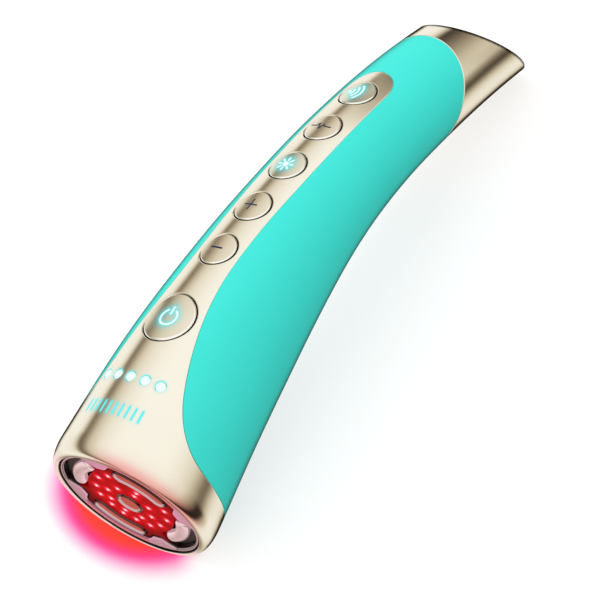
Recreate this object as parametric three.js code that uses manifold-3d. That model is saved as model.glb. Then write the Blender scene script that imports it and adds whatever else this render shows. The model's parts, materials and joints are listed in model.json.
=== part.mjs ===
// A hand-held facial skincare device: a curved body with a light and electrode head at one end.
// Millimetres. While it is modelled, x runs across the body, y from the head's face to the tail
// and z from the back to the row of buttons. At the end the whole lies on its back, +Z up.
import * as THREE from "three";
import { mergeVertices } from "three/addons/utils/BufferGeometryUtils.js";
import Module from "manifold-3d";

const wasm = await Module();
wasm.setup();

// Body: a line through its middle, which bends towards the back, and oval sections along it.
const spineLength = 190;
const headRadius = 23;
const stationShares = [0, 0.105, 0.237, 0.368, 0.5, 0.632, 0.763, 0.921, 1];
const halfWidthShares = [1.02, 0.967, 0.894, 0.814, 0.739, 0.7, 0.684, 0.649, 0.626];
const depthOfWidthShares = [0.976, 0.978, 0.98, 0.945, 0.899, 0.862, 0.828, 0.786, 0.77];
const bendDegrees = [0, 0, 4.2, 7.3, 12.7, 19.8, 25, 30.2, 31.5];
const sectionDegrees = [5.9, 4.6, 4.2, 7.3, 12.7, 19.8, 25, 30.2, 31.5];
const outerSides = 42;
const outerRings = 21;
const innerSides = 22;
const innerRings = 11;
const tailEndStation = 172.2;
const tailEndRiseDegrees = 12.9;
const overrun = 20;

// Walls and the clearances between neighbours.
const skinWall = 1.8;
const chassisWall = 1.5;
const fitGap = 0.3;
const seamGap = 0.3;

// Rim of the head.
const rimRoundDepth = 6.4;
const rimRoundWidth = 2.4;
const rimRoundSteps = 5;

// Gold region of the skin: a collar round the head and a strip along the front.
const collarDepth = 9.8;
const stripEndMargin = 2.54;
const stripEndRadius = 7.5;
const stripPlaceShares = [
  0.078, 0.104, 0.138, 0.18, 0.234, 0.299, 0.376, 0.46, 0.575, 0.729, 0.86,
];
const stripHalfWidthShares = [
  1.01, 0.878, 0.757, 0.652, 0.557, 0.461, 0.37, 0.313, 0.304, 0.326, 0.335,
];
const stripOutlineSteps = 16;
const stripEndSteps = 6;

// Seam between the soft grip and the tail cap: a slanted plane.
const tailSeamMargin = 21.09;
const tailSeamDegrees = 36.9;

// Buttons, from the head to the tail.
const powerRadius = 7.3;
const powerStation = 42.6;
const keyRadius = 5.13;
const firstKeyStation = 64.95;
const keyPitch = 14.94;
const keyNames = ["minus", "plus", "light", "pulse", "wave"];
const lastKeyStation = firstKeyStation + (keyNames.length - 1) * keyPitch;
const capGap = 0.3;
const capSides = 28;
const travel = 0.4;
const plungerRadius = 1.5;
const plungerReach = 5.6;
const guideWall = 1.3;
const switchWidth = 6;
const switchHeight = 2;
const switchDepth = 5.2;
const switchWellGap = 0.2;

// Row of indicator lights and the clear guide behind it.
const dotCount = 5;
const dotRadius = 1.5;
const dotGap = 0.15;
const dotStation = 23.7;
const dotPitch = 4.57;
const dotSides = 12;
const guideBarLength = 6;
const guideBarHalfWidth = 10.6;
const guideBarWall = 1.6;

// Button board, which follows the front wall.
const boardThickness = 1;
const boardHalfWidth = 6;
const boardStart = 17;
const boardEndMargin = 6.29;
const boardSteps = 12;

// Head assembly, by depth below the plane of the rim's crest.
const rimWidth = 3.2;
const bezelRadius = headRadius - rimWidth;
const bezelDepth = 0.5;
const bezelThickness = 1.6;
const bezelPadShare = 0.955;
const bezelArcShare = 0.894;
const bezelLobeShare = 0.765;
const lobePeriodDegrees = 90;
const lobeTopDegrees = 4;
const lobeFootDegrees = 15;
const contourSteps = 72;
const fanSteps = 4;
const lensDepth = 1;
const padMargin = 2.7;
const padWidth = 4.5;
const padOuterRadius = bezelRadius - padMargin;
const padInnerRadius = padOuterRadius - padWidth;
const lensPadGap = 0.4;
const lensStepStartDegrees = 2;
const lensStepEndDegrees = 7;
const padHalfDegrees = 29;
const padRound = 1.6;
const padDepth = 0.35;
const padDegrees = 134;
const arcMargin = 3.4;
const arcWidth = 4.2;
const arcOuterRadius = bezelRadius - arcMargin;
const arcInnerRadius = arcOuterRadius - arcWidth;
const arcHalfDegrees = 30.5;
const arcRound = 2;
const arcDepth = 0.45;
const arcDegrees = 44;
const centreRadius = 3.4;
const centreDepth = 0.4;
const domeRise = 0.5;
const carrierThickness = 2;
const carrierWidth = 5.4;
const gasketWidth = 0.65;
const gasketMargin = 0.05;
const carrierRadius = bezelRadius - gasketMargin - gasketWidth - fitGap;
const carrierWindowRadius = carrierRadius - carrierWidth;
const ledBoardThickness = 1.2;
const ledRadius = 0.75;
const innerLedCount = 8;
const innerLedRadius = 6.4;
const outerLedDegrees = [43, 68, 102, 130, 156];
const outerLedMargin = 1.4;
const outerLedRadius = carrierWindowRadius - outerLedMargin;
const outerLedShares = [1, 0.9, 0.8, 0.8, 0.74];
const endLedShare = 0.765;
const pinRadius = 0.8;
const pinMargin = 1.8;
const pinPlace = carrierWindowRadius + pinMargin;
const heatSinkRadius = carrierWindowRadius;
const heatSinkBase = 1.2;
const heatSinkFin = 1.8;
const heatSinkFinCount = 7;

// Battery and its cradle.
const cellRadiusShare = 0.3043;
const cellRadius = cellRadiusShare * headRadius;
const cellLength = 50;
const cellStation = 71;
const cradleFloor = 2.9;
const cellTipRadius = 2.5;
const cellTipLength = 1;
const saddleWidth = 4;
const saddlePitch = 19;
const saddleCount = 3;
const cradleBarHalfWidth = 4;

// Main board with the parts that stand on it.
const mainStation = 127;
const mainWidth = 17;
const mainLength = 34;
const mainThickness = 1.2;
const mainDrop = 1;
const postRadius = 2.2;
const postMargin = 4;
const postSpread = mainLength / 2 - postMargin;
const chipWidth = 7;
const chipHeight = 1.1;
const chipShift = -1;
const coilWidth = 11;
const coilLength = 9;
const coilHeight = 3.6;

// Screws.
const screwRadius = 1;
const screwHeadRadius = 2;
const screwHeadHeight = 1.2;
const screwGap = 0.25;
const bossRadius = 2.6;
const bossBore = 1.3;
const headBossStation = 37;
const headBossSpread = 10;
const tailBossStation = 104;
const tailBossSpread = 9.2;
const frontBossReach = 5;
const boardScrewLength = 5;

// Tail plate, the charging socket and its board.
const plateInset = 0.5;
const plateThickness = 1.6;
const socketRise = 9;
const socketWidth = 8.9;
const socketHeight = 3.2;
const socketLength = 7.3;
const socketWall = 0.35;
const socketRound = 1.5;
const tongueWidth = 6;
const tongueThickness = 0.7;
const chargeBoardWidth = 13;
const chargeBoardLength = 9;
const chargeBoardThickness = 1;
const shelfThickness = 1.4;

// Wires and flat cables.
const leadRadius = 0.6;
const leadSides = 6;
const leadSteps = 10;
const leadSpread = 3;
const flexHalfWidth = 4;
const flexThickness = 0.4;
const flexSteps = 3;

const gold = { color: 0xd9c6a6, roughness: 0.28, metalness: 1 };
const turquoise = { color: 0x45e3d6, roughness: 0.55, metalness: 0 };
const blackPlastic = { color: 0x1b1b1d, roughness: 0.5, metalness: 0 };
const greyPlastic = { color: 0x8b8f94, roughness: 0.6, metalness: 0 };
const redGlass = { color: 0xa80f22, roughness: 0.12, metalness: 0 };
const clearPlastic = { color: 0xc9f7f5, roughness: 0.2, metalness: 0 };
const boardGreen = { color: 0x1f5a3c, roughness: 0.6, metalness: 0 };
const steel = { color: 0xb8babd, roughness: 0.35, metalness: 1 };
const copper = { color: 0xb56a3c, roughness: 0.4, metalness: 1 };
const cellBlue = { color: 0x2b5fa8, roughness: 0.45, metalness: 0 };
const softBlack = { color: 0x262628, roughness: 0.8, metalness: 0 };
const wireRed = { color: 0xb52222, roughness: 0.6, metalness: 0 };
const orangeFilm = { color: 0xc98a3a, roughness: 0.5, metalness: 0 };

const rad = THREE.MathUtils.degToRad;
const device = new THREE.Group();

// Smooth curve through a table, by cubic pieces whose slopes come from the neighbours.
function smooth(places, values, x) {
  let i = 0;
  while (i < places.length - 2 && x > places[i + 1]) i += 1;
  const slope = (k) => {
    const a = Math.max(k - 1, 0);
    const b = Math.min(k + 1, places.length - 1);
    return (values[b] - values[a]) / (places[b] - places[a]);
  };
  const step = places[i + 1] - places[i];
  const t = (x - places[i]) / step;
  const rise = values[i + 1] - values[i];
  const a = slope(i) * step - rise;
  const b = rise - slope(i + 1) * step;
  return values[i] + t * rise + t * (1 - t) * ((1 - t) * a + t * b);
}

function alongBody(table, s) {
  return smooth(stationShares, table, s / spineLength);
}

// Middle line of the body: the bend summed in small steps.
const spineSteps = 380;
const spinePoints = [new THREE.Vector3()];
for (let i = 0; i < spineSteps; i += 1) {
  const step = spineLength / spineSteps;
  const bend = rad(alongBody(bendDegrees, (i + 0.5) * step));
  const last = spinePoints[i];
  spinePoints.push(
    new THREE.Vector3(0, last.y + step * Math.cos(bend), last.z - step * Math.sin(bend)),
  );
}

function spineAt(s) {
  const place = THREE.MathUtils.clamp(s / spineLength, 0, 1) * spineSteps;
  const i = Math.min(Math.floor(place), spineSteps - 1);
  return spinePoints[i].clone().lerp(spinePoints[i + 1], place - i);
}

// Frame of a section: x across, y towards the front of the body, z towards the tail.
function sectionFrame(s) {
  const turn = rad(alongBody(sectionDegrees, s));
  const front = new THREE.Vector3(0, Math.sin(turn), Math.cos(turn));
  const tail = new THREE.Vector3(0, Math.cos(turn), -Math.sin(turn));
  const across = new THREE.Vector3(-1, 0, 0);
  return new THREE.Matrix4().makeBasis(across, front, tail).setPosition(spineAt(s));
}

function rimDrop(s) {
  const share = THREE.MathUtils.clamp(1 - s / rimRoundDepth, 0, 1);
  return rimRoundWidth * (1 - Math.sqrt(1 - share * share));
}

function halfWidth(s) {
  return headRadius * alongBody(halfWidthShares, s);
}

function halfDepth(s) {
  return halfWidth(s) * alongBody(depthOfWidthShares, s);
}

// Point of the body's surface, angle 0 in the middle of the front, moved in by inset.
function bodyPoint(s, angle, inset) {
  const less = inset + rimDrop(s);
  const across = Math.sin(angle) * (halfWidth(s) - less);
  const out = Math.cos(angle) * (halfDepth(s) - less);
  return new THREE.Vector3(-across, out, 0).applyMatrix4(sectionFrame(s));
}

// Frame on the surface: z points out of the body, y towards the tail.
function surfaceFrame(s, angle) {
  const nudge = spineLength / spineSteps;
  const turn = rad(1);
  const point = bodyPoint(s, angle, 0);
  const tail = bodyPoint(s + nudge, angle, 0).sub(bodyPoint(s - nudge, angle, 0)).normalize();
  const round = bodyPoint(s, angle + turn, 0).sub(bodyPoint(s, angle - turn, 0)).normalize();
  const out = new THREE.Vector3().crossVectors(round, tail).normalize();
  const across = new THREE.Vector3().crossVectors(tail, out);
  return new THREE.Matrix4().makeBasis(across, tail, out).setPosition(point);
}

// Closed mesh from a list of equal rings of points, with flat ends.
function loftGeometry(rings) {
  const count = rings[0].length;
  const positions = [];
  const middle = (ring) =>
    ring.reduce((sum, p) => sum.add(p), new THREE.Vector3()).divideScalar(count);
  rings.forEach((ring) => ring.forEach((p) => positions.push(p.x, p.y, p.z)));
  const first = middle(rings[0]);
  const last = middle(rings[rings.length - 1]);
  positions.push(first.x, first.y, first.z, last.x, last.y, last.z);
  const indices = [];
  for (let r = 0; r < rings.length - 1; r += 1)
    for (let k = 0; k < count; k += 1) {
      const a = r * count + k;
      const b = r * count + ((k + 1) % count);
      indices.push(a, b, a + count, b, b + count, a + count);
    }
  const start = rings.length * count;
  const end = start - count;
  for (let k = 0; k < count; k += 1) {
    indices.push(start, (k + 1) % count, k);
    indices.push(start + 1, end + k, end + ((k + 1) % count));
  }
  const geometry = new THREE.BufferGeometry();
  geometry.setAttribute("position", new THREE.Float32BufferAttribute(positions, 3));
  geometry.setIndex(indices);
  return geometry;
}

// A three.js geometry as a solid that can be joined and cut.
function solid(geometry, matrix = new THREE.Matrix4()) {
  const bare = geometry.clone();
  bare.deleteAttribute("normal");
  bare.deleteAttribute("uv");
  const merged = mergeVertices(bare.applyMatrix4(matrix), 1e-4);
  const made = new wasm.Manifold(
    new wasm.Mesh({
      numProp: 3,
      vertProperties: merged.attributes.position.array,
      triVerts: new Uint32Array(merged.index.array),
    }),
  );
  return made;
}

function geometryOf(shape) {
  const mesh = shape.getMesh();
  const geometry = new THREE.BufferGeometry();
  geometry.setAttribute("position", new THREE.BufferAttribute(mesh.vertProperties, 3));
  geometry.setIndex(new THREE.BufferAttribute(mesh.triVerts, 1));
  geometry.computeVertexNormals();
  return geometry;
}

function addPiece(name, shape, look) {
  const mesh = new THREE.Mesh(geometryOf(shape), new THREE.MeshStandardMaterial(look));
  mesh.name = name;
  device.add(mesh);
  return mesh;
}

function joined(shapes) {
  return shapes.reduce((sum, shape) => sum.add(shape));
}

// Plain solids in a frame: a rod along z between two heights, and a box by its middle.
function rod(frame, radius, low, high, sides) {
  const geometry = new THREE.CylinderGeometry(radius, radius, high - low, sides);
  geometry.rotateX(Math.PI / 2).translate(0, 0, (low + high) / 2);
  return solid(geometry, frame);
}

function block(frame, size, middle) {
  const geometry = new THREE.BoxGeometry(...size).translate(...middle);
  return solid(geometry, frame);
}

// Everything on the outer side of a plane, as far as any cut needs.
function beyond(frame) {
  const reach = 2 * spineLength;
  return block(frame, [reach, reach, reach], [0, 0, reach / 2]);
}

// Flat outline, x and y, pushed from one height to another in a frame.
function plate(frame, outline, low, high, holes = []) {
  const shape = new THREE.Shape(outline);
  shape.holes = holes.map((hole) => new THREE.Path(hole));
  const geometry = new THREE.ExtrudeGeometry(shape, { depth: high - low, bevelEnabled: false });
  return solid(geometry.translate(0, 0, low), frame);
}

function turned(frame, profile, sides) {
  const geometry = new THREE.LatheGeometry(profile, sides).rotateX(Math.PI / 2);
  return solid(geometry, frame);
}

// The body's outer form, moved in by inset, from a first station on; coarser inside.
function body(inset, first) {
  const sides = inset > 0 ? innerSides : outerSides;
  const steps = inset > 0 ? innerRings : outerRings;
  const stations = [first];
  for (let i = 1; i <= rimRoundSteps; i += 1)
    stations.push(rimRoundDepth * (1 - Math.cos(((i / rimRoundSteps) * Math.PI) / 2)));
  for (let i = 1; i <= steps; i += 1)
    stations.push(rimRoundDepth + ((spineLength - rimRoundDepth) * i) / steps);
  const kept = stations.filter((s, i) => i === 0 || s > first + fitGap);
  const rings = kept.map((s) => {
    const ring = [];
    for (let k = 0; k < sides; k += 1) ring.push(bodyPoint(s, (2 * Math.PI * k) / sides, inset));
    return ring;
  });
  return solid(loftGeometry(rings));
}

// All that lies in front of the body's middle surface, or behind it.
function halfSpaceAlongBody(side, offset) {
  const wide = 2 * headRadius;
  const rings = [];
  for (let i = 0; i <= innerRings; i += 1) {
    const s = (spineLength * i) / innerRings;
    const frame = sectionFrame(s);
    const back = i === 0 ? -overrun : 0;
    const ring = [
      [-wide, offset],
      [wide, offset],
      [wide, side * wide],
      [-wide, side * wide],
    ].map(([x, y]) => new THREE.Vector3(x, y, back).applyMatrix4(frame));
    rings.push(side > 0 ? ring : ring.reverse());
  }
  return solid(loftGeometry(rings));
}

const faceFrame = sectionFrame(0).multiply(new THREE.Matrix4().makeRotationY(Math.PI));
const tailEndFrame = new THREE.Matrix4()
  .makeTranslation(spineAt(tailEndStation))
  .multiply(new THREE.Matrix4().makeRotationX(rad(tailEndRiseDegrees - 90)));
const tailSeamFrame = sectionFrame(lastKeyStation + tailSeamMargin).multiply(
  new THREE.Matrix4().makeRotationX(rad(tailSeamDegrees)),
);

function moved(frame, x, y, z) {
  return frame.clone().multiply(new THREE.Matrix4().makeTranslation(x, y, z));
}

const lastKeyPoint = new THREE.Vector3().setFromMatrixPosition(surfaceFrame(lastKeyStation, 0));
const stripEndPlace = lastKeyPoint.y + stripEndMargin;

// The gold region, grown or shrunk by half a seam.
function goldRegion(grow) {
  const collar = beyond(moved(faceFrame, 0, 0, -(collarDepth + grow)));
  const right = [];
  const places = [...stripPlaceShares.map((share) => share * stripEndPlace), stripEndPlace];
  const widths = [...stripHalfWidthShares.map((share) => share * headRadius), stripEndRadius];
  for (let i = 0; i <= stripOutlineSteps; i += 1) {
    const y = THREE.MathUtils.lerp(places[0], stripEndPlace, (i / stripOutlineSteps) ** 1.4);
    right.push(new THREE.Vector2(smooth(places, widths, y) + grow, y));
  }
  for (let i = 1; i < stripEndSteps; i += 1) {
    const angle = ((i / stripEndSteps) * Math.PI) / 2;
    const radius = stripEndRadius + grow;
    right.push(
      new THREE.Vector2(radius * Math.cos(angle), stripEndPlace + radius * Math.sin(angle)),
    );
  }
  const tip = new THREE.Vector2(0, stripEndPlace + stripEndRadius + grow);
  const start = new THREE.Vector2(right[0].x, collarDepth - skinWall);
  const half = [start, ...right];
  const left = half.map((p) => new THREE.Vector2(-p.x, p.y)).reverse();
  const prism = plate(new THREE.Matrix4(), [...half, tip, ...left], -spineLength, spineLength);
  return collar.add(prism.intersect(halfSpaceAlongBody(1, 0)));
}

// Insets of the body's form that make the skins, the chassis and the room inside it.
const chassisInset = skinWall + fitGap;
const roomInset = chassisInset + chassisWall;
const plateBack = plateInset + plateThickness;

// Heights below the skin that follow from what lies above, at the buttons and in the head.
const capThickness = chassisInset - travel - fitGap;
const guideReach = switchDepth - fitGap;
const boardDepth = switchDepth + switchHeight + fitGap;
const faceBack = bezelDepth + bezelThickness;
const carrierDepth = faceBack + fitGap;
const ledBoardDepth = carrierDepth + carrierThickness + fitGap;
const chassisStart = ledBoardDepth + ledBoardThickness + fitGap;
const outer = body(0, 0);
const chassisForm = body(chassisInset, chassisStart);
const roomForm = body(roomInset + fitGap, chassisStart);

function skinForm() {
  const cavity = body(skinWall, faceBack + fitGap);
  const bore = rod(faceFrame, bezelRadius + fitGap, -faceBack - 2 * fitGap, overrun, 2 * outerSides);
  return outer.subtract(cavity).subtract(bore).subtract(beyond(tailEndFrame));
}

// The buttons, each with its place on the front line of the body.
const buttons = [
  { name: "power", radius: powerRadius, frame: surfaceFrame(powerStation, 0) },
  ...keyNames.map((name, i) => ({
    name,
    radius: keyRadius,
    frame: surfaceFrame(firstKeyStation + i * keyPitch, 0),
  })),
];

const dotFrames = [];
for (let i = 0; i < dotCount; i += 1)
  dotFrames.push(
    surfaceFrame(dotStation, ((i - (dotCount - 1) / 2) * dotPitch) / halfWidth(dotStation)),
  );

// Frame at a station whose z points to the front of the body instead of the tail.
function crossFrame(frame, x, z) {
  return moved(frame, x, 0, z).multiply(new THREE.Matrix4().makeRotationX(-Math.PI / 2));
}

const bosses = [
  [headBossStation, headBossSpread],
  [tailBossStation, tailBossSpread],
].flatMap(([station, spread]) => {
  const back = backHeight(station, spread + screwHeadRadius + fitGap, chassisInset);
  return [-1, 1].map((side) => ({
    frame: crossFrame(sectionFrame(station), side * spread, 0),
    seat: back + screwHeadHeight + fitGap,
  }));
});

// Height of the body's back, in its section's frame, at a distance from the middle.
function backHeight(s, x, inset) {
  const share = x / (halfWidth(s) - inset);
  return -(halfDepth(s) - inset) * Math.sqrt(1 - share * share);
}

function makeSkins() {
  const skin = skinForm();
  const capBores = buttons.map((b) =>
    rod(b.frame, b.radius + capGap, -2 * skinWall, overrun, capSides),
  );
  const dotBores = dotFrames.map((frame) =>
    rod(frame, dotRadius + dotGap, -2 * skinWall, overrun, dotSides),
  );
  const front = skin.intersect(goldRegion(-seamGap / 2));
  addPiece("front_shell", front.subtract(joined([...capBores, ...dotBores])), gold);
  const pastSeam = (shift) => beyond(moved(tailSeamFrame, 0, 0, shift));
  const grip = skin.subtract(goldRegion(seamGap / 2)).subtract(pastSeam(-seamGap / 2));
  addPiece("grip_sleeve", grip, turquoise);
  addPiece("tail_cap", skin.intersect(pastSeam(seamGap / 2)), gold);
}

function makeChassis() {
  const wall = chassisForm
    .subtract(body(roomInset, chassisStart / 2))
    .subtract(beyond(moved(tailEndFrame, 0, 0, -(plateBack + fitGap))));
  const tube = joined([
    wall,
    ...bosses.map((b) => rod(b.frame, bossRadius, -headRadius, headRadius, dotSides)),
  ]);
  const boreRadius = plungerRadius + fitGap;
  const guides = buttons.map((b) =>
    rod(b.frame, boreRadius + guideWall, -guideReach, 0, dotSides),
  );
  const frontCuts = [
    ...buttons.map((b) => rod(b.frame, boreRadius, -overrun, overrun, dotSides)),
    ...dotFrames.map((frame) => rod(frame, dotRadius + fitGap, -overrun, overrun, dotSides)),
    ...bosses.map((b) => rod(b.frame, bossBore, -overrun, frontBossReach, dotSides)),
  ];
  const front = joined([tube.intersect(halfSpaceAlongBody(1, fitGap / 2)), ...guides])
    .intersect(chassisForm)
    .subtract(joined(frontCuts));
  addPiece("front_chassis", front, blackPlastic);
  const posts = boardPosts().map((frame) =>
    rod(frame, postRadius, -headRadius, boardBottom - fitGap, dotSides),
  );
  const rearCuts = [
    ...bosses.map((b) => rod(b.frame, bossBore, -overrun, overrun, dotSides)),
    ...bosses.map((b) =>
      rod(b.frame, screwHeadRadius + fitGap, -overrun, b.seat + fitGap, dotSides),
    ),
    ...boardPosts().map((frame) =>
      rod(frame, screwRadius + screwGap, boardBottom - boardScrewLength, overrun, dotSides),
    ),
  ];
  const rear = joined([tube.intersect(halfSpaceAlongBody(-1, -fitGap / 2)), ...posts])
    .intersect(chassisForm)
    .subtract(joined(rearCuts));
  addPiece("rear_chassis", rear, blackPlastic);
  bosses.forEach((b, i) => {
    const shaft = rod(b.frame, screwRadius, b.seat - fitGap, frontBossReach - fitGap, dotSides);
    const head = rod(b.frame, screwHeadRadius, b.seat - screwHeadHeight, b.seat, dotSides);
    addPiece(`chassis_screw_${i + 1}`, shaft.add(head), steel);
  });
}

// Caps, plungers and switches, one set for each button.
function makeButtons() {
  const capForm = outer.subtract(body(capThickness, 0));
  buttons.forEach((b) => {
    const cap = rod(b.frame, b.radius, -2 * skinWall, overrun, capSides).intersect(capForm);
    addPiece(`button_${b.name}`, cap, gold);
    const plunger = rod(b.frame, plungerRadius, -plungerReach, -(capThickness + fitGap), dotSides);
    addPiece(`plunger_${b.name}`, plunger, greyPlastic);
    const can = block(
      b.frame,
      [switchWidth, switchWidth, switchHeight],
      [0, 0, -(switchDepth + switchHeight / 2)],
    );
    const wellDepth = plungerReach + travel + switchWellGap;
    const well = rod(b.frame, plungerRadius + fitGap, -wellDepth, 0, dotSides);
    addPiece(`switch_${b.name}`, can.subtract(well), steel);
  });
}

function makeLightGuide() {
  const room = sectionFrame(dotStation);
  const bar = roomForm
    .subtract(body(roomInset + fitGap + guideBarWall, chassisStart))
    .intersect(
      block(
        room,
        [2 * guideBarHalfWidth, headRadius + overrun, guideBarLength],
        [0, (headRadius + overrun) / 2, 0],
      ),
    );
  const low = -(roomInset + fitGap + guideBarWall / 2);
  const posts = dotFrames.map((frame) => rod(frame, dotRadius, low, overrun, dotSides));
  addPiece("indicator_light_guide", joined([bar, ...posts]).intersect(outer), clearPlastic);
}

// Flat strip that follows the front wall at a depth, between two stations.
function stripLoft(first, last, half, depth, thickness, steps) {
  const rings = [];
  for (let i = 0; i <= steps; i += 1) {
    const s = THREE.MathUtils.lerp(first, last, i / steps);
    const frame = sectionFrame(s);
    const top = halfDepth(s) - rimDrop(s) - depth;
    const ring = [
      [-half, top - thickness],
      [half, top - thickness],
      [half, top],
      [-half, top],
    ].map(([x, y]) => new THREE.Vector3(x, y, 0).applyMatrix4(frame));
    rings.push(ring);
  }
  return solid(loftGeometry(rings));
}

function makeButtonBoard() {
  const board = stripLoft(
    boardStart,
    lastKeyStation + boardEndMargin,
    boardHalfWidth,
    boardDepth,
    boardThickness,
    boardSteps,
  );
  addPiece("button_board", board, boardGreen);
  const middle = boardDepth + (boardThickness - flexThickness) / 2;
  const flex = stripLoft(
    chassisStart,
    boardStart - fitGap,
    flexHalfWidth,
    middle,
    flexThickness,
    flexSteps,
  );
  addPiece("head_flex_cable", flex, orangeFilm);
}

// Point of the face's plane by radius and by angle from the front, towards +x.
function facePoint(radius, degrees) {
  return new THREE.Vector2(radius * Math.sin(rad(degrees)), radius * Math.cos(rad(degrees)));
}

function circleOutline(radius, steps) {
  const points = [];
  for (let i = 0; i < steps; i += 1) points.push(facePoint(radius, (-360 * i) / steps));
  return points;
}

// Degrees between a direction and the nearest of those that repeat with a period.
function offAxis(degrees, centre, period) {
  const turns = (degrees - centre) / period;
  return Math.abs(turns - Math.round(turns)) * period;
}

// Wavy inner contour of the bezel: wide at the pads, less at the arcs, narrow at four lobes.
function bezelRadiusAt(degrees) {
  const lobe = offAxis(degrees, 0, lobePeriodDegrees);
  const share = 1 - THREE.MathUtils.smoothstep(lobe, lobeTopDegrees, lobeFootDegrees);
  const atPad = offAxis(degrees, padDegrees, 180) < lobePeriodDegrees / 2;
  const wide = atPad ? bezelPadShare : bezelArcShare;
  return bezelRadius * THREE.MathUtils.lerp(wide, bezelLobeShare, share);
}

// The lens fills the contour and draws back to the pads' inner edge.
function lensRadiusAt(degrees) {
  const off = offAxis(degrees, padDegrees, 180);
  const share = THREE.MathUtils.smoothstep(
    off,
    padHalfDegrees + lensStepStartDegrees,
    padHalfDegrees + lensStepEndDegrees,
  );
  const atPad = padInnerRadius - lensPadGap;
  return THREE.MathUtils.lerp(atPad, bezelRadiusAt(degrees) - fitGap, share);
}

function contour(radiusAt) {
  const points = [];
  for (let i = 0; i < contourSteps; i += 1) {
    const degrees = (-360 * i) / contourSteps;
    points.push(facePoint(radiusAt(degrees), degrees));
  }
  return points;
}

// Rounded rectangle bent round the face's centre: an electrode's outline, grown by a margin.
function fanOutline(fan, grow) {
  const mean = (fan.inner + fan.outer) / 2;
  const corner = Math.max(fan.round + grow, fitGap);
  const wide = mean * rad(fan.halfDegrees) + grow - corner;
  const high = (fan.outer - fan.inner) / 2 + grow - corner;
  const points = [];
  for (let quarter = 0; quarter < 4; quarter += 1) {
    const across = quarter < 2 ? wide : -wide;
    const up = quarter % 3 === 0 ? high : -high;
    for (let i = 0; i <= fanSteps; i += 1) {
      const angle = ((1 - quarter - i / fanSteps) * Math.PI) / 2;
      points.push([across + corner * Math.cos(angle), up + corner * Math.sin(angle)]);
    }
    for (let i = 1; quarter % 2 === 1 && i < fanSteps; i += 1)
      points.push([across * (1 - (2 * i) / fanSteps), up + Math.sign(up) * corner]);
  }
  const turn = THREE.MathUtils.radToDeg(1 / mean);
  return points.reverse().map(([along, up]) => facePoint(mean + up, fan.degrees + along * turn));
}

// Closed solid through equal outlines at rising heights, each outline counter-clockwise.
function stack(frame, layers) {
  const count = layers[0].outline.length;
  const positions = layers.flatMap((layer) =>
    layer.outline.flatMap((p) => [p.x, p.y, layer.height]),
  );
  const indices = [];
  for (let r = 0; r < layers.length - 1; r += 1)
    for (let k = 0; k < count; k += 1) {
      const a = r * count + k;
      const b = r * count + ((k + 1) % count);
      indices.push(a, b, b + count, a, b + count, a + count);
    }
  const cap = (layer, first, up) =>
    THREE.ShapeUtils.triangulateShape(layer.outline, []).forEach(([i, j, k]) => {
      const [p, q, r] = [layer.outline[i], layer.outline[j], layer.outline[k]];
      const left = (q.x - p.x) * (r.y - p.y) - (q.y - p.y) * (r.x - p.x) > 0;
      if (left === up) indices.push(first + i, first + j, first + k);
      else indices.push(first + i, first + k, first + j);
    });
  cap(layers[0], 0, false);
  cap(layers[layers.length - 1], (layers.length - 1) * count, true);
  const geometry = new THREE.BufferGeometry();
  geometry.setAttribute("position", new THREE.Float32BufferAttribute(positions, 3));
  geometry.setIndex(indices);
  return solid(geometry, frame);
}

// Electrodes of the face: two pads, two arcs and the round one in the middle.
const pads = [padDegrees, padDegrees + 180].map((degrees) => ({
  inner: padInnerRadius,
  outer: padOuterRadius,
  halfDegrees: padHalfDegrees,
  round: padRound,
  depth: padDepth,
  degrees,
}));
const arcs = [arcDegrees, arcDegrees + 180].map((degrees) => ({
  inner: arcInnerRadius,
  outer: arcOuterRadius,
  halfDegrees: arcHalfDegrees,
  round: arcRound,
  depth: arcDepth,
  degrees,
}));

// Plate with a crowned top that draws in towards its edge.
function crowned(fan) {
  const layers = [
    { height: -faceBack, outline: fanOutline(fan, 0) },
    { height: -fan.depth - domeRise, outline: fanOutline(fan, 0) },
    { height: -fan.depth - domeRise / 4, outline: fanOutline(fan, -domeRise / 2) },
    { height: -fan.depth, outline: fanOutline(fan, -2 * domeRise) },
  ];
  return stack(faceFrame, layers);
}

function makeFace() {
  const wavy = contour(bezelRadiusAt);
  const bezelOutline = circleOutline(bezelRadius, contourSteps);
  addPiece("bezel_ring", plate(faceFrame, bezelOutline, -faceBack, -bezelDepth, [wavy]), gold);
  const lensHoles = [
    ...arcs.map((arc) => fanOutline(arc, fitGap)),
    circleOutline(centreRadius + fitGap, 2 * dotSides),
  ];
  const disc = plate(faceFrame, contour(lensRadiusAt), -faceBack, -lensDepth, lensHoles);
  addPiece("lens", disc, redGlass);
  addPiece("electrode_pad_left", crowned(pads[0]), gold);
  addPiece("electrode_pad_right", crowned(pads[1]), gold);
  addPiece("electrode_arc_front", crowned(arcs[0]), gold);
  addPiece("electrode_arc_back", crowned(arcs[1]), gold);
  const dome = [
    new THREE.Vector2(0, -faceBack),
    new THREE.Vector2(centreRadius, -faceBack),
    new THREE.Vector2(centreRadius, -centreDepth - domeRise),
    new THREE.Vector2(centreRadius - domeRise, -centreDepth - domeRise / 4),
    new THREE.Vector2(0, -centreDepth),
  ];
  addPiece("electrode_centre", turned(faceFrame, dome, 2 * dotSides), gold);
}

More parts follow.
